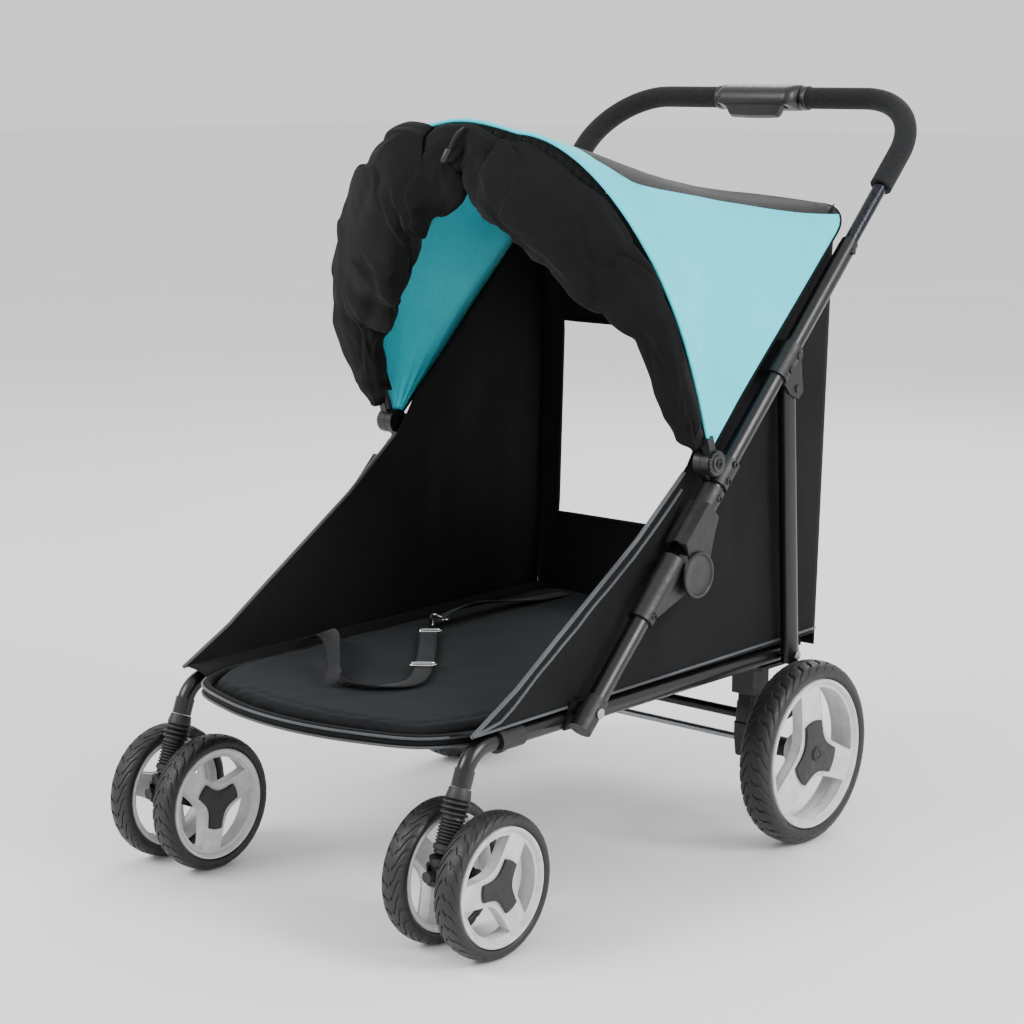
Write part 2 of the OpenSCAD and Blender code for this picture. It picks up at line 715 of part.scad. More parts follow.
module canopy_hinge_bases() part(plastic_black) both_sides() on_main_tube() difference() {
    union() {
        translate([0, 0, 6]) cylinder(h = 40, d = main_d + 7);
        side_plate(-12, -0.4, [[0, 4], [hinge_n, hinge_s - 16], [hinge_n - 12, hinge_s - 10],
                               [hinge_n - 16, hinge_s], [hinge_n - 12, hinge_s + 12],
                               [hinge_n, hinge_s + 16], [0, 46]]);
        translate([0, hinge_n, hinge_s]) bar_x(-12, -0.4, 34);
    }
    translate([0, 0, -10]) cylinder(h = 80, d = main_d + 2 * fit);
    translate([0, hinge_n, hinge_s]) bar_x(-20, 20, 8 + 2 * fit);
}

bow_inset = 9;
module bow(angle, inset) {
    steps = 40;
    start = 0.035;
    sweep([for (k = [0 : steps]) arch_at(front_arch, inset, angle,
              start + (2 - 2 * start) * k / steps)], [for (k = [0 : steps]) 4.5], 10);
}

module canopy_bows() part(plastic_black) {
    bow(arch_angle, bow_inset);
    both_sides() translate([main_x, hinge_y, hinge_z]) {
        bar_x(0.2, 12, 34);
        bar_x(-11.8, 0.4, 8);
        rotate([arch_angle, 0, 0]) translate([0.2, 10, -6]) cube([11.8, 26, 12]);
    }
}

// Front cover, rolled up along the arch, thin at its ends
function roll_radius(t) = 8 + 24 * pow(sin(90 * min(1, (1 - abs(1 - t)) * 1.5)), 2);

module cover_roll() part(cloth_black) {
    steps = 40;
    start = 0.12;
    ts = [for (k = [0 : steps]) start + (2 - 2 * start) * k / steps];
    sweep([for (t = ts) arch_at(front_arch, 26 + roll_radius(t) * 0.3, arch_angle + 8.5, t)],
          [for (t = ts) roll_radius(t)], 12);
}

side_rails();
rail_collars();
pivot_brackets();
pivot_pins();
rear_spring_sleeves();
floor_board();
floor_mat();
side_panels();
rear_wall();
tether_strap();
tether_hardware();
front_bellows();
front_springs();
rear_springs();
rear_axle_blocks();
rear_axle_rod();
brake_bar();
rear_tyre_right();
rear_rim_right();
rear_cap_right();
rear_tyre_left();
rear_rim_left();
rear_cap_left();
front_stem_right();
front_stem_left();
caster_fork_right();
caster_fork_left();
swivel_lock_right();
swivel_lock_left();
front_tyre_right_outer();
front_rim_right_outer();
front_cap_right_outer();
front_tyre_right_inner();
front_rim_right_inner();
front_cap_right_inner();
front_tyre_left_outer();
front_rim_left_outer();
front_cap_left_outer();
front_tyre_left_inner();
front_rim_left_inner();
front_cap_left_inner();
lower_tubes();
lower_end_caps();
lower_fold_sleeves();
upper_tubes();
fold_housings();
fold_medallions();
leg_brackets();
canopy_hinge_bases();
canopy_shell();
rear_legs();
handle_tube();
foam_grip();
console();
fold_trigger();
height_button_right();
height_button_left();
canopy_bows();
cover_roll();
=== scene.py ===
"""Looks of a folding pet stroller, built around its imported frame. Metres, +Z up, front towards -Y."""
from math import asin, atan2, cos, exp, floor, hypot, pi, radians, sin, sqrt

import bmesh
import bpy
from mathutils import Matrix, Vector, noise


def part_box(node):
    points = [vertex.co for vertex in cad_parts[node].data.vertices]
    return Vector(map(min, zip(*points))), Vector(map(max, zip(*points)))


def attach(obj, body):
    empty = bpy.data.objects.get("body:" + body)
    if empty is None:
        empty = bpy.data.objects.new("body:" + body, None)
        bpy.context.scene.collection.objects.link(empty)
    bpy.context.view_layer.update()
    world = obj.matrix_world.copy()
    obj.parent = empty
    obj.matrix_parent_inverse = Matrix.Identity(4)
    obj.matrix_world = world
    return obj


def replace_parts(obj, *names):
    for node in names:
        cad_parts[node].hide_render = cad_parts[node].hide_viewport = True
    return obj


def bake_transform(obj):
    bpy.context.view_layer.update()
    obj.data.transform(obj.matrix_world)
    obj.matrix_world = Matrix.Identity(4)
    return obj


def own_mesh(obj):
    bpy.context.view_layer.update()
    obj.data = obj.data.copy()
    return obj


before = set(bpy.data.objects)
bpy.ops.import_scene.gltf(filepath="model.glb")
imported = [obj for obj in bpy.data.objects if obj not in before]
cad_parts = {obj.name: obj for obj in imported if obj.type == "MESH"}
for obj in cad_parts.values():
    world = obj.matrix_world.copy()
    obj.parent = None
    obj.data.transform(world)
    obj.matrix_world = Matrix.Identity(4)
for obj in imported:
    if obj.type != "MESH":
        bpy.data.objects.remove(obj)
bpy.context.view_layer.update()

MM = 0.001
SIDES = {"right": 1, "left": -1}
FACING = {1: Matrix.Identity(4), -1: Matrix.Rotation(pi, 4, "Z")}


# ---- places on the frame ----

# The main tubes' line: a point on it, its tilt, the way up along it and the way down and out from it.
TUBE_X = 0.280
TUBE_POINT = Vector((0, 0.00899, 0.503))
TUBE_TILT = radians(45.2)
TUBE_UP = Vector((0, sin(TUBE_TILT), cos(TUBE_TILT)))
TUBE_UNDER = Vector((0, cos(TUBE_TILT), -sin(TUBE_TILT)))
HINGE = TUBE_POINT + TUBE_UP * 0.018 - TUBE_UNDER * 0.034
# The hood's arches: half width, height, half width and height of a corner, rise of the crown, and the shares of
# the arch at which its corner starts and ends.
FRONT_ARCH = (0.288, 0.440, 0.200, 0.340, 0.015, 0.16, 0.86)
REAR_ARCH = (0.272, 0.452, 0.050, 0.050, 0.016, 0.56, 0.68)
FRONT_ANGLE = radians(109.5)
REAR_ANGLE = radians(43.4)
# The cabin's cloth stands this far out, from this height and between these places.
PANEL_X = 0.254
PANEL_LOW = 0.262
PANEL_FRONT, PANEL_BACK = -0.424, 0.2845
MAT_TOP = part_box("floor_mat")[1].z
STRUT_LEAN = radians(21)
LEAN = Matrix.Rotation(-STRUT_LEAN, 4, "X")


def on_tube(run, under, x=TUBE_X):
    """A point beside the main tube: so far up its line, and so far below it."""
    return TUBE_POINT + TUBE_UP * run + TUBE_UNDER * under + Vector((x, 0, 0))


def strut_ends(side):
    """Top and foot of a front strut's spring."""
    top = Vector((side * 0.248, -0.4357, 0.2022))
    return top, top + LEAN @ Vector((0, 0, -0.076))


def arch_point(shape, inset, t):
    """Half width and height of an arch, from its hinge at 0 to the top centre at 1."""
    a, b, cx, cz, crown, low, high = shape
    a, b = a - inset, b - inset
    if t < low:
        return a, (b - cz) * t / low
    if t < high:
        w = pi / 2 * (t - low) / (high - low)
        return a - cx + cx * cos(w), b - cz + cz * sin(w)
    w = (t - high) / (1 - high)
    return (a - cx) * (1 - w), b + crown * sin(pi / 2 * w)


def arch_at(shape, inset, angle, t):
    """The same point in space, from the right hinge at 0 to the left one at 2."""
    x, height = arch_point(shape, inset, 1 - abs(1 - t))
    side = -1 if t > 1 else 1
    return HINGE + Vector((side * x, height * cos(angle), height * sin(angle)))


# ---- modelling ----

def deselect():
    if bpy.context.object and bpy.context.object.mode != "OBJECT":
        bpy.ops.object.mode_set(mode="OBJECT")
    bpy.ops.object.select_all(action="DESELECT")


def activate(piece):
    deselect()
    piece.select_set(True)
    bpy.context.view_layer.objects.active = piece


def modify(piece, kind, **settings):
    """Adds a modifier and applies it."""
    activate(piece)
    modifier = piece.modifiers.new(kind.title(), kind)
    for name, value in settings.items():
        setattr(modifier, name, value)
    bpy.ops.object.modifier_apply(modifier=modifier.name)
    return piece


def new_piece(name, vertices, edges=(), faces=()):
    mesh = bpy.data.meshes.new(name)
    mesh.from_pydata([tuple(v) for v in vertices], list(edges), list(faces))
    piece = bpy.data.objects.new(name, mesh)
    bpy.context.scene.collection.objects.link(piece)
    return piece


def select_faces(piece, test):
    """Selects the faces whose centre and normal pass the test, in edit mode."""
    bpy.ops.mesh.select_mode(type="FACE")
    bpy.ops.mesh.select_all(action="DESELECT")
    shape = bmesh.from_edit_mesh(piece.data)
    for face in shape.faces:
        face.select_set(test(face.calc_center_median(), face.normal))
    bmesh.update_edit_mesh(piece.data)


def edit(piece):
    activate(piece)
    bpy.ops.object.mode_set(mode="EDIT")
    bpy.ops.mesh.select_all(action="SELECT")


def close_up(piece):
    """Merges doubles and turns every face outwards."""
    edit(piece)
    bpy.ops.mesh.remove_doubles(threshold=1e-6)
    bpy.ops.mesh.normals_make_consistent(inside=False)
    bpy.ops.object.mode_set(mode="OBJECT")
    return piece


def smooth(piece, angle=40):
    activate(piece)
    bpy.ops.object.shade_smooth_by_angle(angle=radians(angle))
    return piece


def spun(name, profile, steps, unit=1):
    """A closed outline of (radius, x), in metres times unit, turned about the x axis."""
    points = [(x * unit, 0, radius * unit) for radius, x in profile]
    edges = [(k, (k + 1) % len(points)) for k in range(len(points))]
    piece = new_piece(name, points, edges)
    edit(piece)
    bpy.ops.mesh.spin(steps=steps, angle=2 * pi, center=(0, 0, 0), axis=(1, 0, 0))
    return close_up(piece)


def plate(name, outlines, low, high, edge):
    """A flat plate between two x values, from outlines in the y-z plane, with rounded edges."""
    curve = bpy.data.curves.new(name, "CURVE")
    curve.dimensions = "2D"
    curve.fill_mode = "BOTH"
    curve.extrude = (high - low) / 2 - edge
    curve.bevel_depth = edge
    curve.bevel_resolution = 2
    curve.offset = -edge
    for outline in outlines:
        spline = curve.splines.new("POLY")
        spline.points.add(len(outline) - 1)
        for point, (y, z) in zip(spline.points, outline):
            point.co = (y, z, 0, 1)
        spline.use_cyclic_u = True
    piece = bpy.data.objects.new(name, curve)
    bpy.context.scene.collection.objects.link(piece)
    activate(piece)
    bpy.ops.object.convert(target="MESH")
    piece = bpy.context.object
    turned = Matrix(((0, 0, 1, (low + high) / 2), (1, 0, 0, 0), (0, 1, 0, 0), (0, 0, 0, 1)))
    piece.data.transform(turned)
    return close_up(piece)


def surface(name, rows, ring=False, capped=False):
    """Smooth skin through rows of points. Its UV map is in metres along and across it."""
    count = len(rows[0])
    faces = []
    for i in range(len(rows) - 1):
        for j in range(count if ring else count - 1):
            k = (j + 1) % count
            faces.append((i * count + j, i * count + k, (i + 1) * count + k, (i + 1) * count + j))
    if capped:
        faces.append(tuple(range(count))[::-1])
        faces.append(tuple((len(rows) - 1) * count + j for j in range(count)))
    across = []
    for row in rows:
        run = [0.0]
        for a, b in zip(row, row[1:] + row[:1]):
            run.append(run[-1] + (Vector(b) - Vector(a)).length)
        across.append(run)
    down = [[0.0] * count]
    for upper, lower in zip(rows, rows[1:]):
        down.append([d + (Vector(b) - Vector(a)).length for d, a, b in zip(down[-1], upper, lower)])
    piece = new_piece(name, [p for row in rows for p in row], faces=faces)
    layer = piece.data.uv_layers.new(name="cloth")
    for polygon in piece.data.polygons:
        polygon.use_smooth = True
        columns = [v % count for v in polygon.vertices]
        for loop, v, j in zip(polygon.loop_indices, polygon.vertices, columns):
            wraps = ring and j == 0 and max(columns) == count - 1 and len(columns) == 4
            layer.data[loop].uv = (across[v // count][count if wraps else j], down[v // count][j])
    return piece


def solid(name, rows):
    """A closed body through rings of points."""
    return close_up(surface(name, rows, ring=True, capped=True))


def tube_rows(path, radius, sides):
    """Rings of points round a path; the radius is a number or one for each point."""
    rows = []
    up = None
    for k, point in enumerate(path):
        ahead = Vector(path[min(k + 1, len(path) - 1)]) - Vector(path[max(k - 1, 0)])
        ahead.normalize()
        if up is None:
            up = ahead.orthogonal().normalized()
        up = (up - ahead * up.dot(ahead)).normalized()
        side = ahead.cross(up)
        r = radius[k] if isinstance(radius, (list, tuple)) else radius
        rows.append([Vector(point) + r * (cos(a) * up + sin(a) * side)
                     for a in [2 * pi * j / sides for j in range(sides)]])
    return rows


def tube(name, path, radius, sides=10):
    return solid(name, tube_rows(path, radius, sides))


def join(name, pieces):
    deselect()
    for piece in pieces:
        piece.select_set(True)
    bpy.context.view_layer.objects.active = pieces[0]
    if len(pieces) > 1:
        bpy.ops.object.join()
    pieces[0].name = name
    pieces[0].data.name = name
    return pieces[0]


def copied(piece, name, matrix):
    """A copy with its own mesh, put in its place."""
    copy = piece.copy()
    copy.data = piece.data.copy()
    copy.name = name
    copy.data.name = name
    copy.data.transform(matrix)
    bpy.context.scene.collection.objects.link(copy)
    return copy


def remove(*pieces):
    for piece in pieces:
        bpy.data.objects.remove(piece)


def dress(piece, material):
    piece.data.materials.clear()
    piece.data.materials.append(material)
    return piece


def fit(piece, material, body):
    """Gives a piece its material and body."""
    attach(dress(piece, M[material]), body)
    return piece


def fit_folding(piece, material):
    """The same for cabin cloth, on the chassis, with a mesh of its own."""
    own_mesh(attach(dress(piece, M[material]), "chassis"))
    return piece


def smoothstep(x):
    x = min(1.0, max(0.0, x))
    return x * x * (3 - 2 * x)


def lerp(a, b, t):
    return a + (b - a) * t


def along(points, t):
    """A place at share t of the length of a line of points."""
    lengths = [(Vector(b) - Vector(a)).length for a, b in zip(points, points[1:])]
    left = t * sum(lengths)
    for a, b, length in zip(points, points[1:], lengths):
        if left <= length or b is points[-1]:
            return Vector(a).lerp(Vector(b), min(1, left / length))
        left -= length


def flowing(points, count):
    """A smooth line of count points through given ones."""
    line = []
    last = len(points) - 1
    for k in range(count):
        place = last * k / (count - 1)
        i = min(int(place), last - 1)
        t = place - i
        p0, p1, p2, p3 = (Vector(points[min(max(i + d, 0), last)]) for d in (-1, 0, 1, 2))
        line.append(0.5 * (2 * p1 + (p2 - p0) * t + (2 * p0 - 5 * p1 + 4 * p2 - p3) * t ** 2
                           + (3 * p1 - p0 - 3 * p2 + p3) * t ** 3))
    return line


# ---- materials ----

def rgba(code):
    """sRGB hex to linear colour."""
    channels = [int(code[i:i + 2], 16) / 255 for i in (1, 3, 5)]
    return tuple(c / 12.92 if c <= 0.04045 else ((c + 0.055) / 1.055) ** 2.4 for c in channels) + (1.0,)


def feed(tree, node, inputs):
    """Sets a node's inputs to plain values, or links them to sockets."""
    for name, value in inputs.items():
        if isinstance(value, bpy.types.NodeSocket):
            tree.links.new(value, node.inputs[name])
        else:
            node.inputs[name].default_value = value


def add(tree, kind, inputs, **settings):
    """Adds a shader node with its settings and inputs."""
    node = tree.nodes.new("ShaderNode" + kind)
    for name, value in settings.items():
        setattr(node, name, value)
    feed(tree, node, inputs)
    return node


def begin(name, **shader):
    """A material with its surface shader, and places in the object's own space for its patterns."""
    material = bpy.data.materials.new(name)
    material.use_nodes = True
    tree = material.node_tree
    tree.nodes.clear()
    surface_shader = add(tree, "BsdfPrincipled", shader)
    add(tree, "OutputMaterial", {"Surface": surface_shader.outputs["BSDF"]})
    return material, tree, surface_shader, add(tree, "TexCoord", {}).outputs["Object"]


def cloud(tree, place, size_mm, detail, **more):
    """Soft noise of about that size."""
    inputs = {"Vector": place, "Scale": 1 / (size_mm * MM), "Detail": detail, **more}
    return add(tree, "TexNoise", inputs).outputs["Fac"]


def blotches(tree, place, size_mm, low, high, first, second, detail=3):
    """Two colours that mix in soft patches of about that size."""
    spread = add(tree, "MapRange", {"Value": cloud(tree, place, size_mm, detail, Roughness=0.6), "From Min": low,
                                    "From Max": high})
    return add(tree, "Mix", {0: spread.outputs["Result"], 6: rgba(first), 7: rgba(second)},
               data_type="RGBA").outputs[2]


def grain(tree, place, size_mm, height_mm, normal=None):
    """A bump of fine grains of that size, on top of another bump where one is given."""
    below = {"Normal": normal} if normal else {}
    return add(tree, "Bump", {"Height": cloud(tree, place, size_mm, 2), "Distance": height_mm * MM, "Strength": 1.0,
                              **below}).outputs["Normal"]


def wandering(tree, place, size_mm, low, high):
    """Roughness that wanders between two values."""
    return add(tree, "MapRange", {"Value": cloud(tree, place, size_mm, 3), "From Min": 0.3, "From Max": 0.7,
                                  "To Min": low, "To Max": high}).outputs["Result"]


def edge_wear(tree, colour, worn, amount):
    """Mixes a lighter, rubbed colour in on convex edges."""
    bend = add(tree, "NewGeometry", {}).outputs["Pointiness"]
    spread = add(tree, "MapRange", {"Value": bend, "From Min": 0.52, "From Max": 0.60, "To Max": amount})
    return add(tree, "Mix", {0: spread.outputs["Result"], 6: colour, 7: rgba(worn)}, data_type="RGBA").outputs[2]


def moulded(name, dark, light, rough, grain_mm, height_mm, coat=0.0, wear=0.12):
    """Injection-moulded plastic: an even colour, fine spark-eroded grain, and edges rubbed a little paler."""
    material, tree, shader, place = begin(name, **{"IOR": 1.49, "Coat Weight": coat, "Coat Roughness": 0.18})
    base = edge_wear(tree, blotches(tree, place, 22, 0.35, 0.65, dark, light), light, wear)
    feed(tree, shader, {"Base Color": base, "Normal": grain(tree, place, grain_mm, height_mm),
                        "Roughness": wandering(tree, place, 9, rough - 0.06, rough + 0.08)})
    return material


def metal(name, dark, light, rough, brush=None):
    """Bare or coated metal. A brushed one has fine streaks along the given direction."""
    material, tree, shader, place = begin(name, Metallic=1.0)
    if brush:
        place = add(tree, "Mapping", {"Vector": place, "Rotation": brush, "Scale": (1, 1, 0.02)}).outputs["Vector"]
    feed(tree, shader, {"Base Color": blotches(tree, place, 2.5, 0.3, 0.7, dark, light),
                        "Normal": grain(tree, place, 0.8, 0.01),
                        "Roughness": wandering(tree, place, 3, rough - 0.05, rough + 0.07)})
    return material


def powder_coat(name, dark, light):
    """Gloss black powder coat on steel tube: deep colour, a faint orange-peel ripple, clear highlights."""
    material, tree, shader, place = begin(name, **{"IOR": 1.46, "Coat Weight": 0.12, "Coat Roughness": 0.15})
    base = edge_wear(tree, blotches(tree, place, 30, 0.35, 0.65, dark, light), "#3A3C40", 0.06)
    feed(tree, shader, {"Base Color": base, "Normal": grain(tree, place, 1.6, 0.025),
                        "Roughness": wandering(tree, place, 14, 0.26, 0.36)})
    return material


def woven(name, dark, light, thread_mm, rough, sheen, tint, slub=0.35, ribbed=False, height_mm=0.12):
    """Woven cloth on the piece's own UV map: crossing threads, uneven slubs, and large soft patches of painted fold
    shade.
    Real threads are about 0.3 mm; they are drawn as coarse as thread_mm so that they show."""
    material, tree, shader, place = begin(name, **{"Roughness": rough, "IOR": 1.32, "Sheen Weight": sheen,
                                                   "Sheen Roughness": 0.45, "Sheen Tint": rgba(tint)})
    cloth = add(tree, "UVMap", {}, uv_map="cloth").outputs["UV"]
    split = add(tree, "SeparateXYZ", {"Vector": cloth})
    waves, slubs = [], []
    for axis, stretch in (("X", (1, 0.12, 1)), ("Y", (0.12, 1, 1))):
        turns = add(tree, "Math", {0: split.outputs[axis], 1: pi / (thread_mm * MM)}, operation="MULTIPLY")
        waves.append(add(tree, "Math", {0: turns.outputs[0]}, operation="SINE").outputs[0])
        lined = add(tree, "Mapping", {"Vector": cloth, "Scale": stretch})
        slubs.append(cloud(tree, lined.outputs["Vector"], thread_mm / 0.6, 2))
    if ribbed:
        weave = add(tree, "Math", {0: waves[1]}, operation="ABSOLUTE").outputs[0]
    else:
        weave = add(tree, "Math", {0: waves[0], 1: waves[1]}, operation="MULTIPLY").outputs[0]
    mottle = add(tree, "Math", {0: slubs[0], 1: slubs[1]}, operation="ADD").outputs[0]
    # Large soft patches of lighter and darker tone: painted shade of cloth folds, mixed into the colour with the
    # slubs.
    folds = add(tree, "TexNoise", {"Vector": place, "Scale": 9, "Detail": 2}).outputs["Fac"]
    tone = add(tree, "Math", {0: mottle, 1: slub, 2: folds}, operation="MULTIPLY_ADD")
    spread = add(tree, "MapRange", {"Value": tone.outputs[0], "From Min": 0.35 + slub * 0.7,
                                    "From Max": 0.65 + slub * 1.3})
    colour = add(tree, "Mix", {0: spread.outputs["Result"], 6: rgba(dark), 7: rgba(light)}, data_type="RGBA")
    height = add(tree, "Math", {0: mottle, 1: 0.8, 2: weave}, operation="MULTIPLY_ADD")
    bump = add(tree, "Bump", {"Height": height.outputs[0], "Distance": height_mm * MM})
    feed(tree, shader, {"Base Color": colour.outputs[2],
                        "Normal": grain(tree, place, 18, 0.6, bump.outputs["Normal"])})
    return material


def net(name, colour, hole_mm):
    """Knitted polyester net: dark strands round rows of small holes that let light through.
    Real holes are about 1.5 mm; they are drawn at hole_mm so that they show."""
    material, tree, shader, _ = begin(name, **{"Base Color": rgba(colour), "Roughness": 0.7})
    cloth = add(tree, "UVMap", {}, uv_map="cloth").outputs["UV"]
    cells = add(tree, "TexVoronoi", {"Vector": cloth, "Scale": 1 / (hole_mm * MM), "Randomness": 0.15})
    strands = add(tree, "MapRange", {"Value": cells.outputs["Distance"], "From Min": 0.30, "From Max": 0.38,
                                     "To Min": 0.80, "To Max": 1.0})
    bump = add(tree, "Bump", {"Height": cells.outputs["Distance"], "Distance": 0.4 * MM})
    feed(tree, shader, {"Alpha": strands.outputs["Result"], "Normal": bump.outputs["Normal"]})
    return material


def foam_skin(name, dark, light):
    """Closed-cell foam sleeve: dull, almost black, with open pores. Real pores are about half a millimetre; they
    are drawn at 1.3 mm so that they show."""
    material, tree, shader, place = begin(name, **{"IOR": 1.4, "Sheen Weight": 0.12, "Sheen Roughness": 0.6,
                                                   "Sheen Tint": rgba("#8A8D92")})
    pores = add(tree, "TexVoronoi", {"Vector": place, "Scale": 1 / (1.3 * MM)})
    bump = add(tree, "Bump", {"Height": pores.outputs["Distance"], "Distance": 0.35 * MM})
    feed(tree, shader, {"Base Color": blotches(tree, place, 3, 0.3, 0.7, dark, light, 5),
                        "Normal": grain(tree, place, 6, 0.25, bump.outputs["Normal"]),
                        "Roughness": wandering(tree, place, 5, 0.78, 0.95)})
    return material


def rubber(name, dark, light):
    """Moulded EVA and rubber tyre: charcoal, satin, paler and drier where it has been handled."""
    material, tree, shader, place = begin(name, **{"IOR": 1.5, "Sheen Weight": 0.08, "Sheen Roughness": 0.5,
                                                   "Sheen Tint": rgba("#9EA3A8")})
    base = edge_wear(tree, blotches(tree, place, 14, 0.3, 0.7, dark, light, 5), "#5A5C60", 0.18)
    feed(tree, shader, {"Base Color": base,
                        "Normal": grain(tree, place, 4, 0.12, grain(tree, place, 0.7, 0.05)),
                        "Roughness": wandering(tree, place, 7, 0.42, 0.62)})
    return material


M = {
    "black_tube": powder_coat("powder_coated_steel", "#050506", "#0A0A0C"),
    "grey_tube": metal("polished_anodised_tube", "#26282B", "#44474C", 0.26, brush=(TUBE_TILT, 0, 0)),
    "zinc_steel": metal("zinc_plated_steel", "#8D9094", "#B4B8BC", 0.32),
    "black_plastic": moulded("moulded_nylon_black", "#0B0C0D", "#17181A", 0.46, 0.9, 0.05),
    "gloss_plastic": moulded("moulded_abs_black", "#0A0B0C", "#151618", 0.40, 1.0, 0.03, coat=0.08),
    "rim_plastic": moulded("moulded_polypropylene_grey", "#B9B9BA", "#CFCFD0", 0.40, 1.2, 0.03, wear=0.1),
    "tyre_rubber": rubber("foamed_tyre_rubber", "#0B0C0D", "#161719"),
    "foam": foam_skin("closed_cell_foam", "#08090A", "#111214"),
    "black_cloth": woven("black_polyester_oxford", "#060607", "#0E0F10", 2.2, 0.88, 0.10, "#8E9297"),
    "roll_cloth": woven("soft_black_polyester", "#040405", "#0A0B0C", 2.0, 0.88, 0.08, "#8E9297", slub=0.25),
    "blue_cloth": woven("turquoise_polyester_oxford", "#22CFE2", "#45E0F0", 2.2, 0.80, 0.14,
                        "#E6FBFF", slub=0.5),
    "mat_cloth": woven("slate_mat_cloth", "#07080A", "#101214", 2.4, 0.9, 0.10, "#9CA3AB", slub=0.45),
    "webbing": woven("nylon_webbing", "#070708", "#151618", 1.8, 0.65, 0.25,
                     "#9DA0A5", ribbed=True, height_mm=0.35),
    "piping": woven("reflective_piping", "#333539", "#54575B", 1.2, 0.45, 0.35, "#E2E5E8"),
    "net": net("knitted_net", "#050506", 3.2),
    "zip": moulded("zip_teeth_nylon", "#0B0B0C", "#1A1B1D", 0.35, 0.8, 0.05),
    "black_screw": metal("black_oxide_steel", "#2A2C2F", "#45484C", 0.34),
    "nickel": metal("nickel_plated_steel", "#B9BABC", "#E2E3E4", 0.18),
}

CAD_FINISH = {
    "black_tube": ["side_rails", "lower_tubes", "upper_tubes", "rear_legs", "brake_bar"],
    "grey_tube": ["handle_tube"],
    "zinc_steel": ["pivot_pins", "rear_axle_rod"],
    "black_plastic": ["rail_collars", "pivot_brackets", "rear_spring_sleeves", "front_stem_right",
                      "front_stem_left", "caster_fork_right", "caster_fork_left",
                      "lower_end_caps", "lower_fold_sleeves", "fold_housings", "leg_brackets",
                      "canopy_hinge_bases", "canopy_bows"],
    "gloss_plastic": ["swivel_lock_right", "swivel_lock_left", "height_button_right", "height_button_left"],
    "foam": ["foam_grip"],
}
for finish, nodes in CAD_FINISH.items():
    for node in nodes:
        dress(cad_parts[node], M[finish])


# ---- wheels ----

def tyre(name, radius, width, seat, blocks, depth):
    """A tyre about the x axis. Its tread blocks are parted by grooves that sweep back from the middle."""
    half, rise = width / 2, radius - seat
    section = [(0, 0.40), (0.06, 0.455), (0.18, 0.488), (0.34, 0.50), (0.50, 0.492), (0.56, 0.478),
               (0.68, 0.455), (0.79, 0.415), (0.88, 0.35), (0.945, 0.26), (0.985, 0.15), (1.0, 0.045)]
    profile = [(seat + h * rise, w * width) for h, w in section]
    profile += [(r, -x) for r, x in reversed(profile)]
    steps = blocks * 4
    piece = spun(name, profile, steps)
    edit(piece)

    def in_groove(centre, _):
        r = hypot(centre.y, centre.z)
        step = int(atan2(centre.z, centre.y) / (2 * pi) * steps + steps) % 4
        return r > seat + 0.53 * rise and abs(centre.x) > 0.06 * width and step == (0 if centre.x > 0 else 2)

    select_faces(piece, in_groove)
    bpy.ops.mesh.extrude_region()
    shrink = 1 - depth / radius
    bpy.ops.transform.resize(value=(1, shrink, shrink), center_override=(0, 0, 0))
    bpy.ops.object.mode_set(mode="OBJECT")
    pitch = 2 * pi / blocks
    for vertex in piece.data.vertices:
        sweep = pitch * (1.5 * (abs(vertex.co.x) / half) ** 1.4 + 0.25 * sin(7 * vertex.co.x / half))
        vertex.co = Matrix.Rotation(sweep, 3, "X") @ vertex.co
    modify(piece, "BEVEL", width=0.7 * MM, segments=2, angle_limit=radians(38))
    return smooth(piece, 50)


def window(radius, apex, spread):
    """One opening between two spokes: a round outer side and a rounded corner towards the hub."""
    far_y, far_z = radius * cos(spread), radius * sin(spread)
    bend = 0.30 * apex
    slope = sqrt((far_y - apex + bend) ** 2 - bend ** 2) / far_z
    inner = [(apex + sqrt(bend ** 2 + (slope * z) ** 2) - bend, z)
             for z in [lerp(-far_z, far_z, k / 24) for k in range(25)]]
    outer = [(radius * cos(a), radius * sin(a))
             for a in [lerp(spread, -spread, k / 18) for k in range(1, 18)]]
    return inner + outer


def turned(outline, angle):
    c, s = cos(angle), sin(angle)
    return [(y * c - z * s, y * s + z * c) for y, z in outline]


def circle(radius, count):
    return [(radius * cos(2 * pi * k / count), radius * sin(2 * pi * k / count))
            for k in range(count)]


def rim(name, radius, width, hub):
    """Rim with a raised lip, a deep barrel and three spokes that flare into it."""
    edge = width / 2 - 1 * MM
    face = width / 2 - 6 * MM
    barrel = radius - 9.5 * MM
    skin = spun(name + "_barrel", [
        (radius - 0.6 * MM, edge - 2 * MM), (radius - 1.4 * MM, edge), (radius - 3.5 * MM, edge + 0.6 * MM),
        (radius - 5.2 * MM, edge - 0.4 * MM), (radius - 6.4 * MM, edge - 3 * MM), (barrel, edge - 6.5 * MM),
        (barrel, -edge + 6 * MM), (radius - 6 * MM, -edge + 1.5 * MM), (radius - 2.5 * MM, -edge),
        (radius - 0.6 * MM, -edge + 2 * MM)], 128)
    opening = window(barrel - 1.5 * MM, 0.33 * radius, radians(47))
    openings = [turned(opening, radians(60 + 120 * k)) for k in range(3)]
    spokes = plate(name + "_spokes", [circle(barrel + 2.5 * MM, 96)] + openings, face - 17 * MM, face, 1.2 * MM)
    ridges = []
    for k, outline in enumerate(openings):
        path = [(face - 0.4 * MM, y, z) for y, z in outline]
        ridges.append(solid(f"{name}_ridge_{k}", tube_rows(path + path[:1], 1.3 * MM, 8)))
    boss = spun(name + "_boss", [(5.3 * MM, face - 1 * MM), (hub, face - 1 * MM), (hub, -edge + 5 * MM),
                                 (hub - 3 * MM, -edge + 3 * MM), (5.3 * MM, -edge + 3 * MM)], 48)
    return smooth(join(name, [skin, spokes, boss] + ridges), 45)


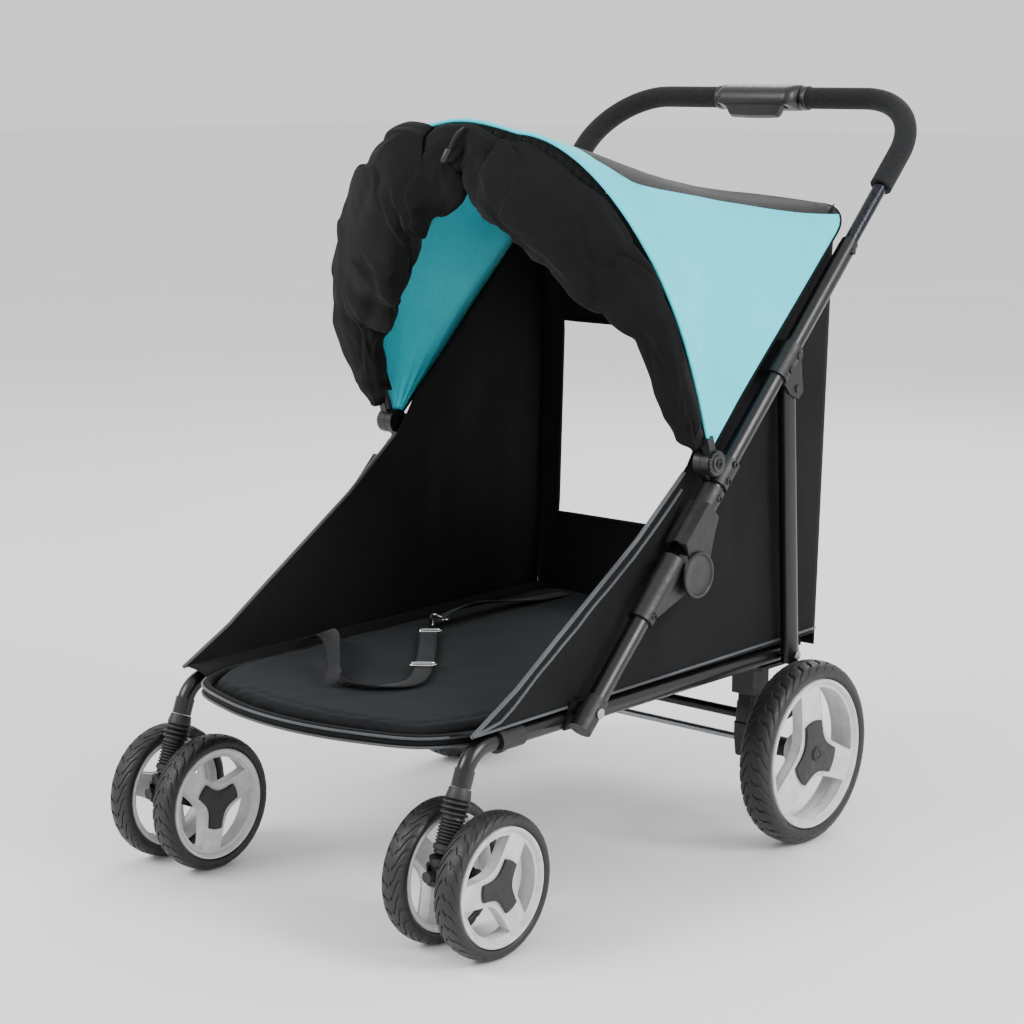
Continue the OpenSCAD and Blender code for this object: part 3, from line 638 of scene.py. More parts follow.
def hub_cap(name, radius, width, reach, lobe, waist, nub):
    """Three blunt lobes with hollow sides, and on some wheels a round boss in the middle."""
    face = width / 2 - 6 * MM
    half = lobe / 2
    spread = asin(half / reach)
    corner_y, corner_z = reach * cos(pi / 3 - spread), reach * sin(pi / 3 - spread)
    bend = 0.45 * waist
    slope = sqrt((corner_y - waist + bend) ** 2 - bend ** 2) / corner_z
    hollow = [(waist + sqrt(bend ** 2 + (slope * z) ** 2) - bend, z)
              for z in [lerp(-corner_z, corner_z, k / 20) for k in range(21)]]
    end = [(reach * cos(pi / 3 + a), reach * sin(pi / 3 + a))
           for a in [lerp(-spread, spread, k / 8) for k in range(1, 8)]]
    outline = []
    for k in range(3):
        outline += turned(hollow + end, radians(60 + 120 * k))
    pieces = [plate(name, [outline], face, face + 4.5 * MM, 1.1 * MM)]
    if nub:
        top = face + 4.5 * MM
        pieces.append(spun(name + "_nub", [
            (nub, top - 2 * MM), (nub, top + 1.5 * MM), (nub - 1.2 * MM, top + 3 * MM), (nub * 0.7, top + 3 * MM),
            (nub * 0.62, top + 2 * MM), (nub * 0.3, top + 2.6 * MM), (0.1 * MM, top + 2.8 * MM),
            (0.1 * MM, top - 2 * MM)], 40))
    return smooth(join(name, pieces), 40)


def wheel_matrix(node, outward, turn):
    """Turn is the direction of one spoke, in degrees, from straight back towards the top."""
    low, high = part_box(node)
    angle = radians(turn if outward > 0 else 180 - turn)
    face = Matrix.Rotation(0 if outward > 0 else pi, 4, "Z")
    return Matrix.Translation((low + high) / 2) @ face @ Matrix.Rotation(angle, 4, "X")


def wheels():
    rear_low, rear_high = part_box("rear_tyre_right")
    front_low, front_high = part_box("front_tyre_right_outer")
    rear_r, rear_w = (rear_high.z - rear_low.z) / 2, rear_high.x - rear_low.x
    front_r, front_w = (front_high.z - front_low.z) / 2, front_high.x - front_low.x
    rear_rim, front_rim = 102.5 * MM, 74 * MM
    rear = [tyre("rear_tyre", rear_r, rear_w, rear_rim, 38, 2.0 * MM),
            rim("rear_rim", rear_rim, rear_w, 22 * MM),
            hub_cap("rear_cap", rear_rim, rear_w, 46 * MM, 35 * MM, 27 * MM, 9.5 * MM)]
    front = [tyre("front_tyre", front_r, front_w, front_rim, 30, 1.6 * MM),
             rim("front_rim", front_rim, front_w, 16 * MM),
             hub_cap("front_cap", front_rim, front_w, 34 * MM, 21 * MM, 17 * MM, 0)]
    places = [("rear", "right", 1, 97), ("rear", "left", -1, -50),
              ("front", "right_outer", 1, -60), ("front", "right_inner", -1, 15),
              ("front", "left_outer", -1, -80), ("front", "left_inner", 1, 20)]
    for axle, place, outward, turn in places:
        for kind, model in zip(("tyre", "rim", "cap"), rear if axle == "rear" else front):
            node = f"{axle}_{kind}_{place}"
            matrix = wheel_matrix(f"{axle}_tyre_{place}", outward, turn)
            finish = "rim_plastic" if kind == "rim" else "tyre_rubber"
            piece = fit(copied(model, f"moulded_{node}", matrix), finish, f"{axle}_wheel_{place}")
            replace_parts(piece, node)
    remove(*rear, *front)


wheels()


# ---- cabin ----

# (y, z) of a side panel's entry edge from its foot up, and of its rear edge from the hem up.
ENTRY = [(PANEL_FRONT, PANEL_LOW), (-0.343, 0.305), (-0.270, 0.353), (-0.194, 0.402), (-0.115, 0.453),
         (-0.013, 0.532), (0.018, 0.578), (0.308, 0.853)]
BACK = [(PANEL_BACK, PANEL_LOW), (0.2865, 0.300), (0.306, 0.772), (0.308, 0.853)]
PIPED = 0.51  # share of the entry edge that is piped, up to the main tube


def creases(place, seed, size, depth):
    """Height of soft folds in cloth at a place."""
    p = Vector(place) / size + Vector((seed, seed * 0.7, -seed))
    return depth * (noise.noise(p) + 0.4 * noise.noise(p * 2.3))


def panel_point(side, u, v):
    """u runs back along the panel and v from its hem up to the entry edge."""
    top = along([(0, y, z) for y, z in ENTRY], u)
    back = along([(0, y, z) for y, z in BACK], v)
    hem = Vector((0, lerp(PANEL_FRONT, PANEL_BACK, u), PANEL_LOW))
    straight = hem.lerp(top, v)
    line = Vector((0, *BACK[0])).lerp(Vector((0, *BACK[-1])), v)
    point = straight + (back - line) * u ** 4
    free = sin(pi * min(1, max(0, v))) * min(1, 6 * u) * min(1, 8 * (1 - u))
    pull = sin(26 * (point.y * 0.8 + point.z * 0.55) + 2 * side) * 0.0016
    out = free * (creases((0, point.y, point.z * 0.45), 3 + side, 0.09, 0.006) + pull - 0.003)
    return Vector((side * (PANEL_X + out), point.y, point.z))


def side_panels():
    for side_name, side in SIDES.items():
        rows = [[panel_point(side, i / 90, j / 44) for j in range(45)] for i in range(91)]
        panel = surface(f"side_panel_{side_name}", rows)
        modify(panel, "SOLIDIFY", thickness=1.6 * MM, offset=0)
        fit_folding(close_up(panel), "black_cloth")
        for k, (inset, radius) in enumerate([(0.0, 2.6), (0.022, 2.0)]):
            path = []
            for i in range(120):
                u = i / 119 * PIPED
                top = along([(0, y, z) for y, z in ENTRY], u)
                point = panel_point(side, u, 1 - inset / max(0.03, top.z - PANEL_LOW))
                path.append(point + Vector((side * 1.4 * MM, 0, 0)))
            fit_folding(tube(f"entry_piping_{k}_{side_name}", path, radius * MM, 8), "piping")
        hem = tube(f"hem_piping_{side_name}",
                   [panel_point(side, i / 60, 0.012) + Vector((side * 1.6 * MM, 0, 0)) for i in range(61)],
                   1.8 * MM, 8)
        fit(hem, "piping", "chassis")
        skirt_rows = []
        for i in range(61):
            y = lerp(-0.420, PANEL_BACK, i / 60)
            tray_x = 0.2346 - 3.2 * max(0, -0.34 - y) ** 2
            skirt_rows.append([Vector((side * lerp(PANEL_X, tray_x, smoothstep(j / 6) ** 0.8), y,
                                       lerp(PANEL_LOW + 0.001, 0.2535, (j / 6) ** 2))) for j in range(7)])
        skirt = surface(f"hem_skirt_{side_name}", skirt_rows)
        modify(skirt, "SOLIDIFY", thickness=1.2 * MM, offset=0)
        fit(close_up(skirt), "black_cloth", "chassis")
        if side == 1:
            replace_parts(panel, "side_panels")


def rear_wall():
    """Back wall with a see-through opening under a curved top, sewn to the roof's rear edge."""
    half, low_z = 0.2535, 0.2450
    low_y, lean = 0.286, (0.308 - 0.286) / 0.57
    widest = 0.2718
    window_x, window_z, window_middle = 0.217, 0.146, 0.520
    roof_line = [arch_at(REAR_ARCH, 0.004, REAR_ANGLE, k / 200) for k in range(60, 201)]
    rows = []
    steps = 96
    for i in range(steps + 1):
        a = 2 * pi * i / steps
        c, s = cos(a), sin(a)
        square = 1 / max(abs(c), abs(s))
        outer_x = half * c * square
        roof = min(roof_line, key=lambda p: abs(p.x - min(abs(outer_x), widest)))
        outer_z = lerp(low_z, roof.z, (s * square + 1) / 2)
        inner_x, inner_z = window_x * c * square, window_middle + window_z * s * square
        row = []
        for j in range(13):
            t = j / 12
            x, z = lerp(inner_x, outer_x, t), lerp(inner_z, outer_z, t)
            wall_y = low_y + (z - PANEL_LOW) * lean
            y = lerp(wall_y, roof.y, smoothstep((z - 0.76) / 0.11))
            fold = sin(pi * t) * creases((x * 0.6, 0, z), 9, 0.08, 0.007)
            row.append(Vector((x, y + fold, z)))
        rows.append(row)
    wall = surface("back_wall", rows)
    modify(wall, "SOLIDIFY", thickness=1.6 * MM, offset=0)
    fit_folding(close_up(wall), "black_cloth")
    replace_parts(wall, "rear_wall")
    border = tube("window_binding", [row[0] + Vector((0, -1.5 * MM, 0)) for row in rows], 3.2 * MM, 10)
    fit_folding(border, "roll_cloth")


def floor_edge(half, back_y, front_grow, count):
    """Outline of the tray: straight sides and a bowed front, from the right rear corner to the left one."""
    hand_set = [(half, back_y), (half, 0.1), (half, -0.1), (half, -0.26), (half - 0.001, -0.345),
                (half - 0.006, -0.380 - front_grow), (half - 0.026, -0.421 - front_grow),
                (0.172, -0.448 - front_grow), (0.100, -0.472 - front_grow), (0.048, -0.482 - front_grow)]
    points = hand_set + [(0, -0.485 - front_grow)] + [(-x, y) for x, y in reversed(hand_set)]
    return [(p.x, p.y) for p in flowing([(x, y, 0) for x, y in points], count)]


def tray():
    """Cloth-covered floor tray with two lines of piping round its front and sides."""
    outline = floor_edge(0.2315, 0.284, 0.008, 161)
    section = [(-0.004, 0.240), (0.0012, 0.2412), (0.0022, 0.248), (0.0018, 0.2545), (-0.001, 0.2565),
               (-0.006, 0.2562), (-0.0085, 0.253), (-0.009, 0.247)]
    middle = Vector((0, -0.1, 0))

    def pushed(k, out, z):
        x, y = outline[k]
        a, b = outline[max(k - 1, 0)], outline[min(k + 1, len(outline) - 1)]
        normal = Vector((-(b[1] - a[1]), b[0] - a[0], 0)).normalized()
        if normal.dot(Vector((x, y, 0)) - middle) < 0:
            normal = -normal
        return Vector((x, y, z)) + normal * out

    rows = [[pushed(k, out, z) for out, z in section] for k in range(len(outline))]
    edge = dress(solid("tray_edge", rows), M["black_cloth"])
    low = [Vector((x, y, 0.2402)) for x, y in outline]
    high = [Vector((x * 0.985, y * 0.985, 0.2462)) for x, y in outline]
    board = dress(solid("tray_board", [low, high]), M["black_cloth"])
    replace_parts(fit(join("cloth_tray", [edge, board]), "black_cloth", "chassis"), "floor_board")
    for name, z in (("low", 0.2425), ("high", 0.2535)):
        line = tube(f"tray_piping_{name}", [pushed(k, 0.0030, z) for k in range(18, 143)], 1.7 * MM, 8)
        fit(line, "piping", "chassis")


def mat():
    """Foam-filled floor mat, blown up by cloth pressure, with a sewn line inside its edge."""
    outline = floor_edge(0.2215, 0.270, -0.004, 121)
    low, high = 0.2475, MAT_TOP - 0.004
    ring_low = [Vector((x, y, low)) for x, y in outline]
    ring_high = [Vector((x, y, high)) for x, y in outline]
    pad = solid("padded_mat", [ring_low, ring_high])
    modify(pad, "BEVEL", width=5 * MM, segments=2, angle_limit=radians(50))
    modify(pad, "REMESH", mode="VOXEL", voxel_size=6 * MM)
    rest = [v.co.copy() for v in pad.data.vertices]
    activate(pad)
    cloth = pad.modifiers.new("Cloth", "CLOTH")
    cloth.settings.use_pressure = True
    cloth.settings.uniform_pressure_force = 3
    cloth.settings.effector_weights.gravity = 0
    scene = bpy.context.scene
    for step in range(1, 15):
        scene.frame_set(step)
    bpy.ops.object.modifier_apply(modifier=cloth.name)
    scene.frame_set(1)
    cap = 4 * MM  # the furthest that the pressure may move the cloth
    edge_points = [Vector((x, y, 0)) for x, y in outline][::3]
    for vertex, start in zip(pad.data.vertices, rest):
        move = vertex.co - start
        if move.length > cap:
            move = move * (cap / move.length)
        vertex.co = start + move
        if start.z > high - 2 * MM:
            flat_place = Vector((start.x, start.y, 0))
            rim_gap = min((flat_place - p).length for p in edge_points)
            seam_gap, seam_width, seam_depth = 0.020, 0.004, 0.0022
            vertex.co.z -= seam_depth * exp(-((rim_gap - seam_gap) / seam_width) ** 2)
            vertex.co.z += creases((start.x, start.y, 0), 17, 0.11, 0.0016)
    smooth(pad, 180)
    modify(pad, "SUBSURF", levels=1, render_levels=1)
    fit(pad, "mat_cloth", "chassis")
    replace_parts(pad, "floor_mat")


def ribbon(name, route, width, thick):
    """Flat webbing along given points; each has its place and the direction of the strap's width."""
    count = 90
    line = flowing([p for p, _ in route], count)
    widths = flowing([w for _, w in route], count)
    rows = []
    for k, point in enumerate(line):
        ahead = (line[min(k + 1, count - 1)] - line[max(k - 1, 0)]).normalized()
        across = (widths[k] - ahead * widths[k].dot(ahead)).normalized() * width / 2
        lift = across.cross(ahead).normalized() * thick / 2
        rows.append([point - across - lift, point - across + lift, point - across * 0.5 + lift * 1.1,
                     point + lift * 1.15, point + across * 0.5 + lift * 1.1, point + across + lift,
                     point + across - lift, point - lift])
    return solid(name, rows)


def tether():
    """Two webbing straps that keep the pet in, with a slide buckle and a swivel hook."""
    on = MAT_TOP + 1.5 * MM
    shift = Vector((-0.008, 0.078, 0))
    front = [((-0.225, -0.285, on), (0.4, 1, 0)), ((-0.190, -0.300, on + 0.016), (0.5, 1, 0.3)),
             ((-0.130, -0.345, on + 0.024), (0.6, 0.8, 0.7)), ((-0.070, -0.400, on + 0.016), (0.7, 0.5, 1.2)),
             ((-0.030, -0.440, on + 0.010), (0.9, 0.6, 0.9)), ((0.000, -0.447, on + 0.006), (0.7, -0.5, 0.5)),
             ((0.035, -0.420, on + 0.003), (0.7, -0.6, 0.2)), ((0.050, -0.385, on + 0.002), (0.9, -0.4, 0)),
             ((0.035, -0.350, on + 0.003), (0.9, 0.5, 0)), ((0.000, -0.305, on + 0.003), (0.8, 0.6, 0)),
             ((-0.060, -0.235, on + 0.004), (0.8, 0.7, 0)), ((-0.115, -0.175, on + 0.005), (0.8, 0.7, 0))]
    back = [((-0.152, -0.050, on + 0.006), (0.9, -0.4, 0.1)), ((-0.162, -0.015, on + 0.012), (1, -0.2, 0.3)),
            ((-0.165, 0.035, on + 0.016), (1, 0.1, 0.4)), ((-0.162, 0.095, on + 0.010), (1, 0.2, 0.2)),
            ((-0.157, 0.165, on + 0.003), (1, 0.1, 0)), ((-0.155, 0.235, on), (1, 0, 0))]
    width = 24 * MM
    front = [(Vector(p) + shift, w) for p, w in front]
    straps = [ribbon("tether_front", front, width, 1.6 * MM), ribbon("tether_back", back, width, 1.6 * MM)]
    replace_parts(fit(join("tether_webbing", straps), "webbing", "chassis"), "tether_strap")
    direction = Vector((0.62, -0.78, 0)).normalized()
    across = Vector((direction.y, -direction.x, 0))

    def loop(name, centre, half_along, half_across, radius, power):
        """A rounded oblong of wire; a higher power gives squarer corners."""
        path = []
        for k in range(41):
            a = 2 * pi * k / 40
            c, s = cos(a), sin(a)
            r = 1 / (abs(c) ** power + abs(s) ** power) ** (1 / power)
            path.append(Vector(centre) + shift + direction * half_along * c * r + across * half_across * s * r)
        return tube(name, path, radius, 10)

    slide = Vector((0.005, -0.312, on + 0.006))
    parts = [loop("slider_frame", slide, 0.0085, 0.0165, 1.5 * MM, 5),
             tube("slider_bar", [slide + shift - across * 0.016, slide + shift + across * 0.016], 1.3 * MM, 10),
             loop("hook_ring", (-0.118, -0.168, on + 0.006), 0.006, 0.015, 1.7 * MM, 4)]
    hook_at = Vector((-0.128, -0.155, on + 0.007)) + shift
    hook = [hook_at + Vector(bend) for bend in (
        (0, 0, 0), (-0.010, 0.012, 0.004), (-0.022, 0.020, 0.008), (-0.030, 0.036, 0.006), (-0.022, 0.048, 0.002),
        (-0.010, 0.044, 0.001), (-0.008, 0.030, 0.003))]
    parts.append(tube("swivel_hook", flowing(hook, 40), [lerp(3.2, 1.6, k / 39) * MM for k in range(40)], 10))
    metalwork = smooth(join("tether_metal", parts), 60)
    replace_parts(fit(metalwork, "nickel", "chassis"), "tether_hardware")


# ---- canopy ----

BAND = 0.085  # depth of the cloth band along the front arch, as a share of the hood's
START = 0.022  # where the cloth starts on the arch, above the hinge


def roof_edge(u):
    """Where the coloured side cloth meets the roof net, as a share of the arch."""
    bow = 0.02 * sin(pi * smoothstep((u - 0.1) / 0.9))
    return lerp(0.70, 0.613, smoothstep((u - 0.05) / 0.12)) + bow


def canopy_point(u, t):
    """u runs from the front arch back, t from the right hinge over the top to the left one."""
    front = arch_at(FRONT_ARCH, 0, FRONT_ANGLE, t)
    rear = arch_at(REAR_ARCH, 0, REAR_ANGLE, t)
    point = front.lerp(rear, u)
    height = 1 - abs(1 - t)
    sag = sin(pi * u) * sin(pi * min(1, height)) ** 0.6
    inward = Vector((-point.x, 0, HINGE.z + 0.1 - point.z)).normalized()
    fold = creases((point.x, point.y * 0.7, point.z), 5, 0.10, 0.0035) * sin(pi * u) ** 0.5
    pull = 0.0012 * sin(38 * u + 4 * height) * (1 - smoothstep(height / 0.45))
    return point + inward * (lerp(0.007, 0.032, u) * sag + fold + pull)


def canopy():
    """One continuous hood: cloth sides and front band, with a net roof behind the band."""
    side_steps, roof_steps, depth = 34, 26, 44
    levels = [0.0, 0.02] + [0.02 + (BAND - 0.02) * k / 4 for k in range(1, 5)]
    levels += [BAND + (1 - BAND) * k / (depth - 6) for k in range(1, depth - 5)]
    rows = []
    for u in levels:
        edge = roof_edge(u)
        ts = [lerp(START, edge, k / side_steps) for k in range(side_steps)]
        ts += [lerp(edge, 2 - edge, k / roof_steps) for k in range(roof_steps)]
        ts += [lerp(2 - edge, 2 - START, k / side_steps) for k in range(side_steps + 1)]
        rows.append([canopy_point(u, t) for t in ts])
    count = len(rows[0])
    hood = surface("canopy_cloth", rows)
    hood.data.materials.append(M["blue_cloth"])
    hood.data.materials.append(M["net"])
    front_rows = sum(1 for u in levels if u <= BAND + 1e-6) - 1
    for polygon in hood.data.polygons:
        row, column = divmod(min(polygon.vertices), count)
        if row >= front_rows and side_steps <= column < side_steps + roof_steps:
            polygon.material_index = 1
    modify(hood, "SOLIDIFY", thickness=1.4 * MM, offset=-1)
    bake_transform(hood)
    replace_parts(hood, "canopy_shell")
    for k, radius, finish, body, slot in ((0, 2.6, "blue_cloth", "canopy", "blue_cloth"),
                                          (1, 2.2, "roll_cloth", "upper_frame", "black_cloth")):
        path = [canopy_point(k, lerp(START, 2 - START, i / 160)) for i in range(161)]
        fit(tube(f"canopy_edge_{k}", path, radius * MM, 8), finish, body)
    for k, u in enumerate((0.070, 0.078)):
        path = [canopy_point(u, lerp(START, 0.71, i / 120)) for i in range(121)]
        lifted = [p + Vector((p.x, 0, p.z - HINGE.z)).normalized() * 0.3 * MM for p in path]
        stitch = dress(tube(f"sewn_line_{k}", lifted, 0.55 * MM, 6), M["blue_cloth"])
        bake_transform(stitch)


# The roll along the front arch: place on the arch, inset from it and half width, in millimetres.
ROLL = [(0.05, 12, 9), (0.09, 20, 22), (0.20, 22, 31), (0.30, 20, 34), (0.38, 30, 46), (0.48, 44, 60),
        (0.64, 52, 64), (0.78, 50, 58), (0.86, 43, 48), (0.92, 33, 36), (0.965, 22, 22), (1.02, 31, 35),
        (1.12, 47, 56), (1.25, 44, 76), (1.50, 52, 80), (1.62, 38, 66), (1.72, 18, 47), (1.80, 11, 39),
        (1.88, 4, 29), (1.95, -2, 10)]


def roll_place(t):
    """Centre of the roll, and its half width along the arch plane."""
    i = max(k for k in range(len(ROLL) - 1) if ROLL[k][0] <= t or k == 0)
    (t0, c0, w0), (t1, c1, w1) = ROLL[i], ROLL[i + 1]
    share = smoothstep((t - t0) / (t1 - t0))
    inset, half = lerp(c0, c1, share) * MM, lerp(w0, w1, share) * MM
    forward = Vector((0, -sin(FRONT_ANGLE), cos(FRONT_ANGLE)))
    thick = 0.40 * half + 6 * MM
    return arch_at(FRONT_ARCH, inset, FRONT_ANGLE, t) + forward * (thick * 0.92), half, thick


def cover_roll():
    """Zip-off front cover, gathered up along the front arch: a thick bundle of folded cloth, thin at its
    ends and pinched by a tape at the top. Its layers overlap in folds that run round it slantwise."""
    steps, sides = 420, 132
    low, high = ROLL[0][0], ROLL[-1][0]
    line = [roll_place(lerp(low, high, k / steps)) for k in range(steps + 1)]
    rows = []
    for k, (centre, half, thick) in enumerate(line):
        ahead = (line[min(k + 6, steps)][0] - line[max(k - 6, 0)][0]).normalized()
        out = Vector((centre.x, 0, centre.z - HINGE.z - 0.08)).normalized()
        out = (out - ahead * out.dot(ahead)).normalized()
        side = ahead.cross(out)
        run = k / steps
        row = []
        for j in range(sides):
            a = 2 * pi * j / sides
            ring = Vector((cos(a), sin(a), run * 7))
            wander = noise.noise(ring * 0.8) + 0.4 * noise.noise(ring * 2.1)
            swell = 0.93 + 0.13 * wander
            for number, pace, depth in ((1, 5.0, 0.24), (2, -7.0, 0.17), (3, 13.0, 0.08)):
                phase = number * j / sides + pace * run + 0.55 * wander
                layer = phase - floor(phase)
                lap = smoothstep((1 - layer) / 0.10) * layer ** 0.8 - 0.5
                fade = smoothstep(0.5 + 1.2 * noise.noise(ring * 1.1 + Vector((number * 9, 0, 0))))
                swell += depth * lap * fade
            pucker = noise.noise(Vector((cos(a) * 2.2, sin(a) * 2.2, run * 60)))
            swell += 0.022 * pucker
            row.append(centre + out * (cos(a) * half * swell) + side * (sin(a) * thick * swell))
        rows.append(row)
    roll = fit(solid("rolled_cover", rows), "roll_cloth", "canopy")
    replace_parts(roll, "cover_roll")
    tie_and_toggle()


def tie_and_toggle():
    """Narrow tape that ties the roll at its top, with a barrel toggle on its end."""
    centre, half, thick = roll_place(0.975)
    front = centre + Vector((0, -thick - 6 * MM, 0))
    top = front + Vector((0.004, 0.010, half * 0.8))
    hang = front + Vector((-0.006, -0.008, -0.010))
    flat = Vector((1, 0, 0))
    route = [(top, flat), (front + Vector((0, 0, 0.010)), flat), (hang, flat)]
    fit(ribbon("tie_tape", route, 6 * MM, 1 * MM), "webbing", "canopy")
    toggle = spun("tape_toggle", [(0.4, 0), (3.6, 0.6), (4.6, 4), (4.2, 10), (4.6, 16), (3.4, 19), (0.4, 19.6)],
                  28, MM)
    turn = Vector((1, 0, 0)).rotation_difference(Vector((-0.35, -0.3, -1)).normalized()).to_matrix().to_4x4()
    toggle.data.transform(Matrix.Translation(hang - Vector((0, 0, -0.002))) @ turn)
    fit(smooth(toggle, 35), "gloss_plastic", "canopy")


def zip_strip():
    """Puckered zip tape between the roll and the hood's front edge, with its teeth on the right side."""
    steps = 420
    rows = []
    for k in range(steps + 1):
        t = lerp(0.08, 1.92, k / steps)
        edge = arch_at(FRONT_ARCH, 3 * MM, FRONT_ANGLE + 0.003, t)
        centre = roll_place(t)[0]
        out = (edge - Vector((0, edge.y, HINGE.z + 0.08))).normalized()
        inner = edge - out * 26 * MM + (centre - edge) * 0.35
        ruffle = 0.0022 * sin(k * 0.95) + 0.0012 * sin(k * 2.3 + 1)
        rows.append([edge.lerp(inner, j / 5) + Vector((0, -sin(pi * j / 5) * (0.003 + ruffle), 0))
                     for j in range(6)])
    tape = surface("zip_tape", rows)
    modify(tape, "SOLIDIFY", thickness=1.2 * MM, offset=0)
    fit(tape, "roll_cloth", "canopy")
    teeth = []
    widths = [(1.3 + 0.3 * sin(k * 1.9)) * MM for k in range(201)]
    for path_inset in (7, 10):
        path = [arch_at(FRONT_ARCH, path_inset * MM, FRONT_ANGLE + 0.006, lerp(0.08, 0.98, k / 200))
                for k in range(201)]
        teeth.append(tube(f"zip_coil_{path_inset}", path, widths, 8))
    fit(join("zip_coil", teeth), "zip", "canopy")


side_panels()
rear_wall()
tray()
mat()
tether()
canopy()
cover_roll()
zip_strip()


# ---- hardware ----

BAR = Vector((0, 0.500, 0.9906)) / MM  # middle of the handle's cross bar, in millimetres


def bellows():
    """Rubber boots over the front springs: a lower cuff, tight ribs, three wide ribs and a tapered top cuff."""
    outer = [(15.2, 0.8), (15.6, 1.6), (15.6, 6.2), (15.0, 7.0)]
    for k in range(8):
        outer += [(12.7, 8.4 + 4 * k), (15.0, 9.9 + 4 * k), (15.3, 10.6 + 4 * k), (15.0, 11.3 + 4 * k)]
    for k in range(3):
        outer += [(13.2, 42.2 + 6.4 * k), (16.9, 44.2 + 6.4 * k), (17.2, 45.2 + 6.4 * k), (16.9, 46.2 + 6.4 * k)]
    outer += [(13.4, 61.0), (15.4, 62.6), (15.2, 66), (13.6, 74.6), (13.2, 75.4)]
    inner = [(11.6, 75.4), (11.6, 0.8)]
    boot = spun("spring_boot", outer + inner, 48, MM)
    boot.data.transform(Matrix.Rotation(-pi / 2, 4, "Y"))
    for side_name, side in SIDES.items():
        top, foot = strut_ends(side)
        piece = copied(boot, f"moulded_boot_{side_name}", Matrix.Translation(foot) @ LEAN)
        dress(smooth(piece, 35), M["tyre_rubber"])
        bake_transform(piece)
        if side == 1:
            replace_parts(piece, "front_bellows")
    remove(boot)


def toothed_knobs():
    """Discs on the hood's hinges, with a toothed edge and a screw in the middle."""
    outline = []
    for k in range(24):
        a = 2 * pi * k / 24
        for share, radius in ((0.0, 15.4), (0.22, 16.6), (0.5, 16.6), (0.72, 15.4)):
            b = a + share * 2 * pi / 24
            outline.append((radius * MM * cos(b), radius * MM * sin(b)))
    disc = plate("knob_disc", [outline], 0.2925, 0.2958, 0.4 * MM)
    dome = spun("knob_dome", [(0.1, 294), (11.5, 294), (11, 297.2), (9.4, 298), (6.8, 298), (6.2, 296.8),
                              (0.1, 297)], 40, MM)
    knob = smooth(join("knob", [disc, dome]), 35)
    for side_name, side in SIDES.items():
        piece = copied(knob, f"toothed_knob_{side_name}", Matrix.Translation(HINGE) @ FACING[side])
        fit(piece, "gloss_plastic", "canopy")
    remove(knob)


def medallions():
    """Round cover plates on the knees: a flat dull face inside a raised ring."""
    plate_piece = spun("cover", [(0.1, 299.0), (30.0, 299.0), (30.0, 301.8), (29.3, 303.0), (28.0, 303.5),
                                 (26.6, 303.4), (25.6, 302.6), (25.0, 301.4), (24.0, 301.0), (12, 301.3),
                                 (0.1, 301.4)], 72, MM)
    centre = on_tube(-0.110, 0.0315, 0)
    for side_name, side in SIDES.items():
        piece = copied(plate_piece, f"knee_cover_{side_name}", Matrix.Translation(centre) @ FACING[side])
        fit(smooth(piece, 30), "gloss_plastic", "upper_frame")
        if side == 1:
            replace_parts(piece, "fold_medallions")
    remove(plate_piece)


def screws():
    """Pan-head screws with a hexagon socket, in black-oxide steel."""
    head = spun("head", [(0.1, 0.9), (1.9, 0.9), (2.1, 2.0), (3.4, 2.2), (4.3, 1.5), (4.7, 0.2), (4.7, -0.8),
                         (0.1, -0.8)], 32, MM)
    places = {"upper_frame": [(-0.012, 0.0, 0.0165), (0.016, 0.0, 0.0160), (0.040, -0.004, 0.0160)],
              "lower_frame": [(-0.198, 0.0, 0.0165)], "canopy": [(0.018, -0.034, 0.0170)]}
    for body, spots in places.items():
        heads = []
        for side in (1, -1):
            for k, (run, under, out) in enumerate(spots):
                place = on_tube(run, under, side * (TUBE_X + out))
                heads.append(copied(head, f"screw_{side}_{k}", Matrix.Translation(place) @ FACING[side]))
        fit(smooth(join(f"screws_{body}", heads), 35), "black_screw", body)
    remove(head)


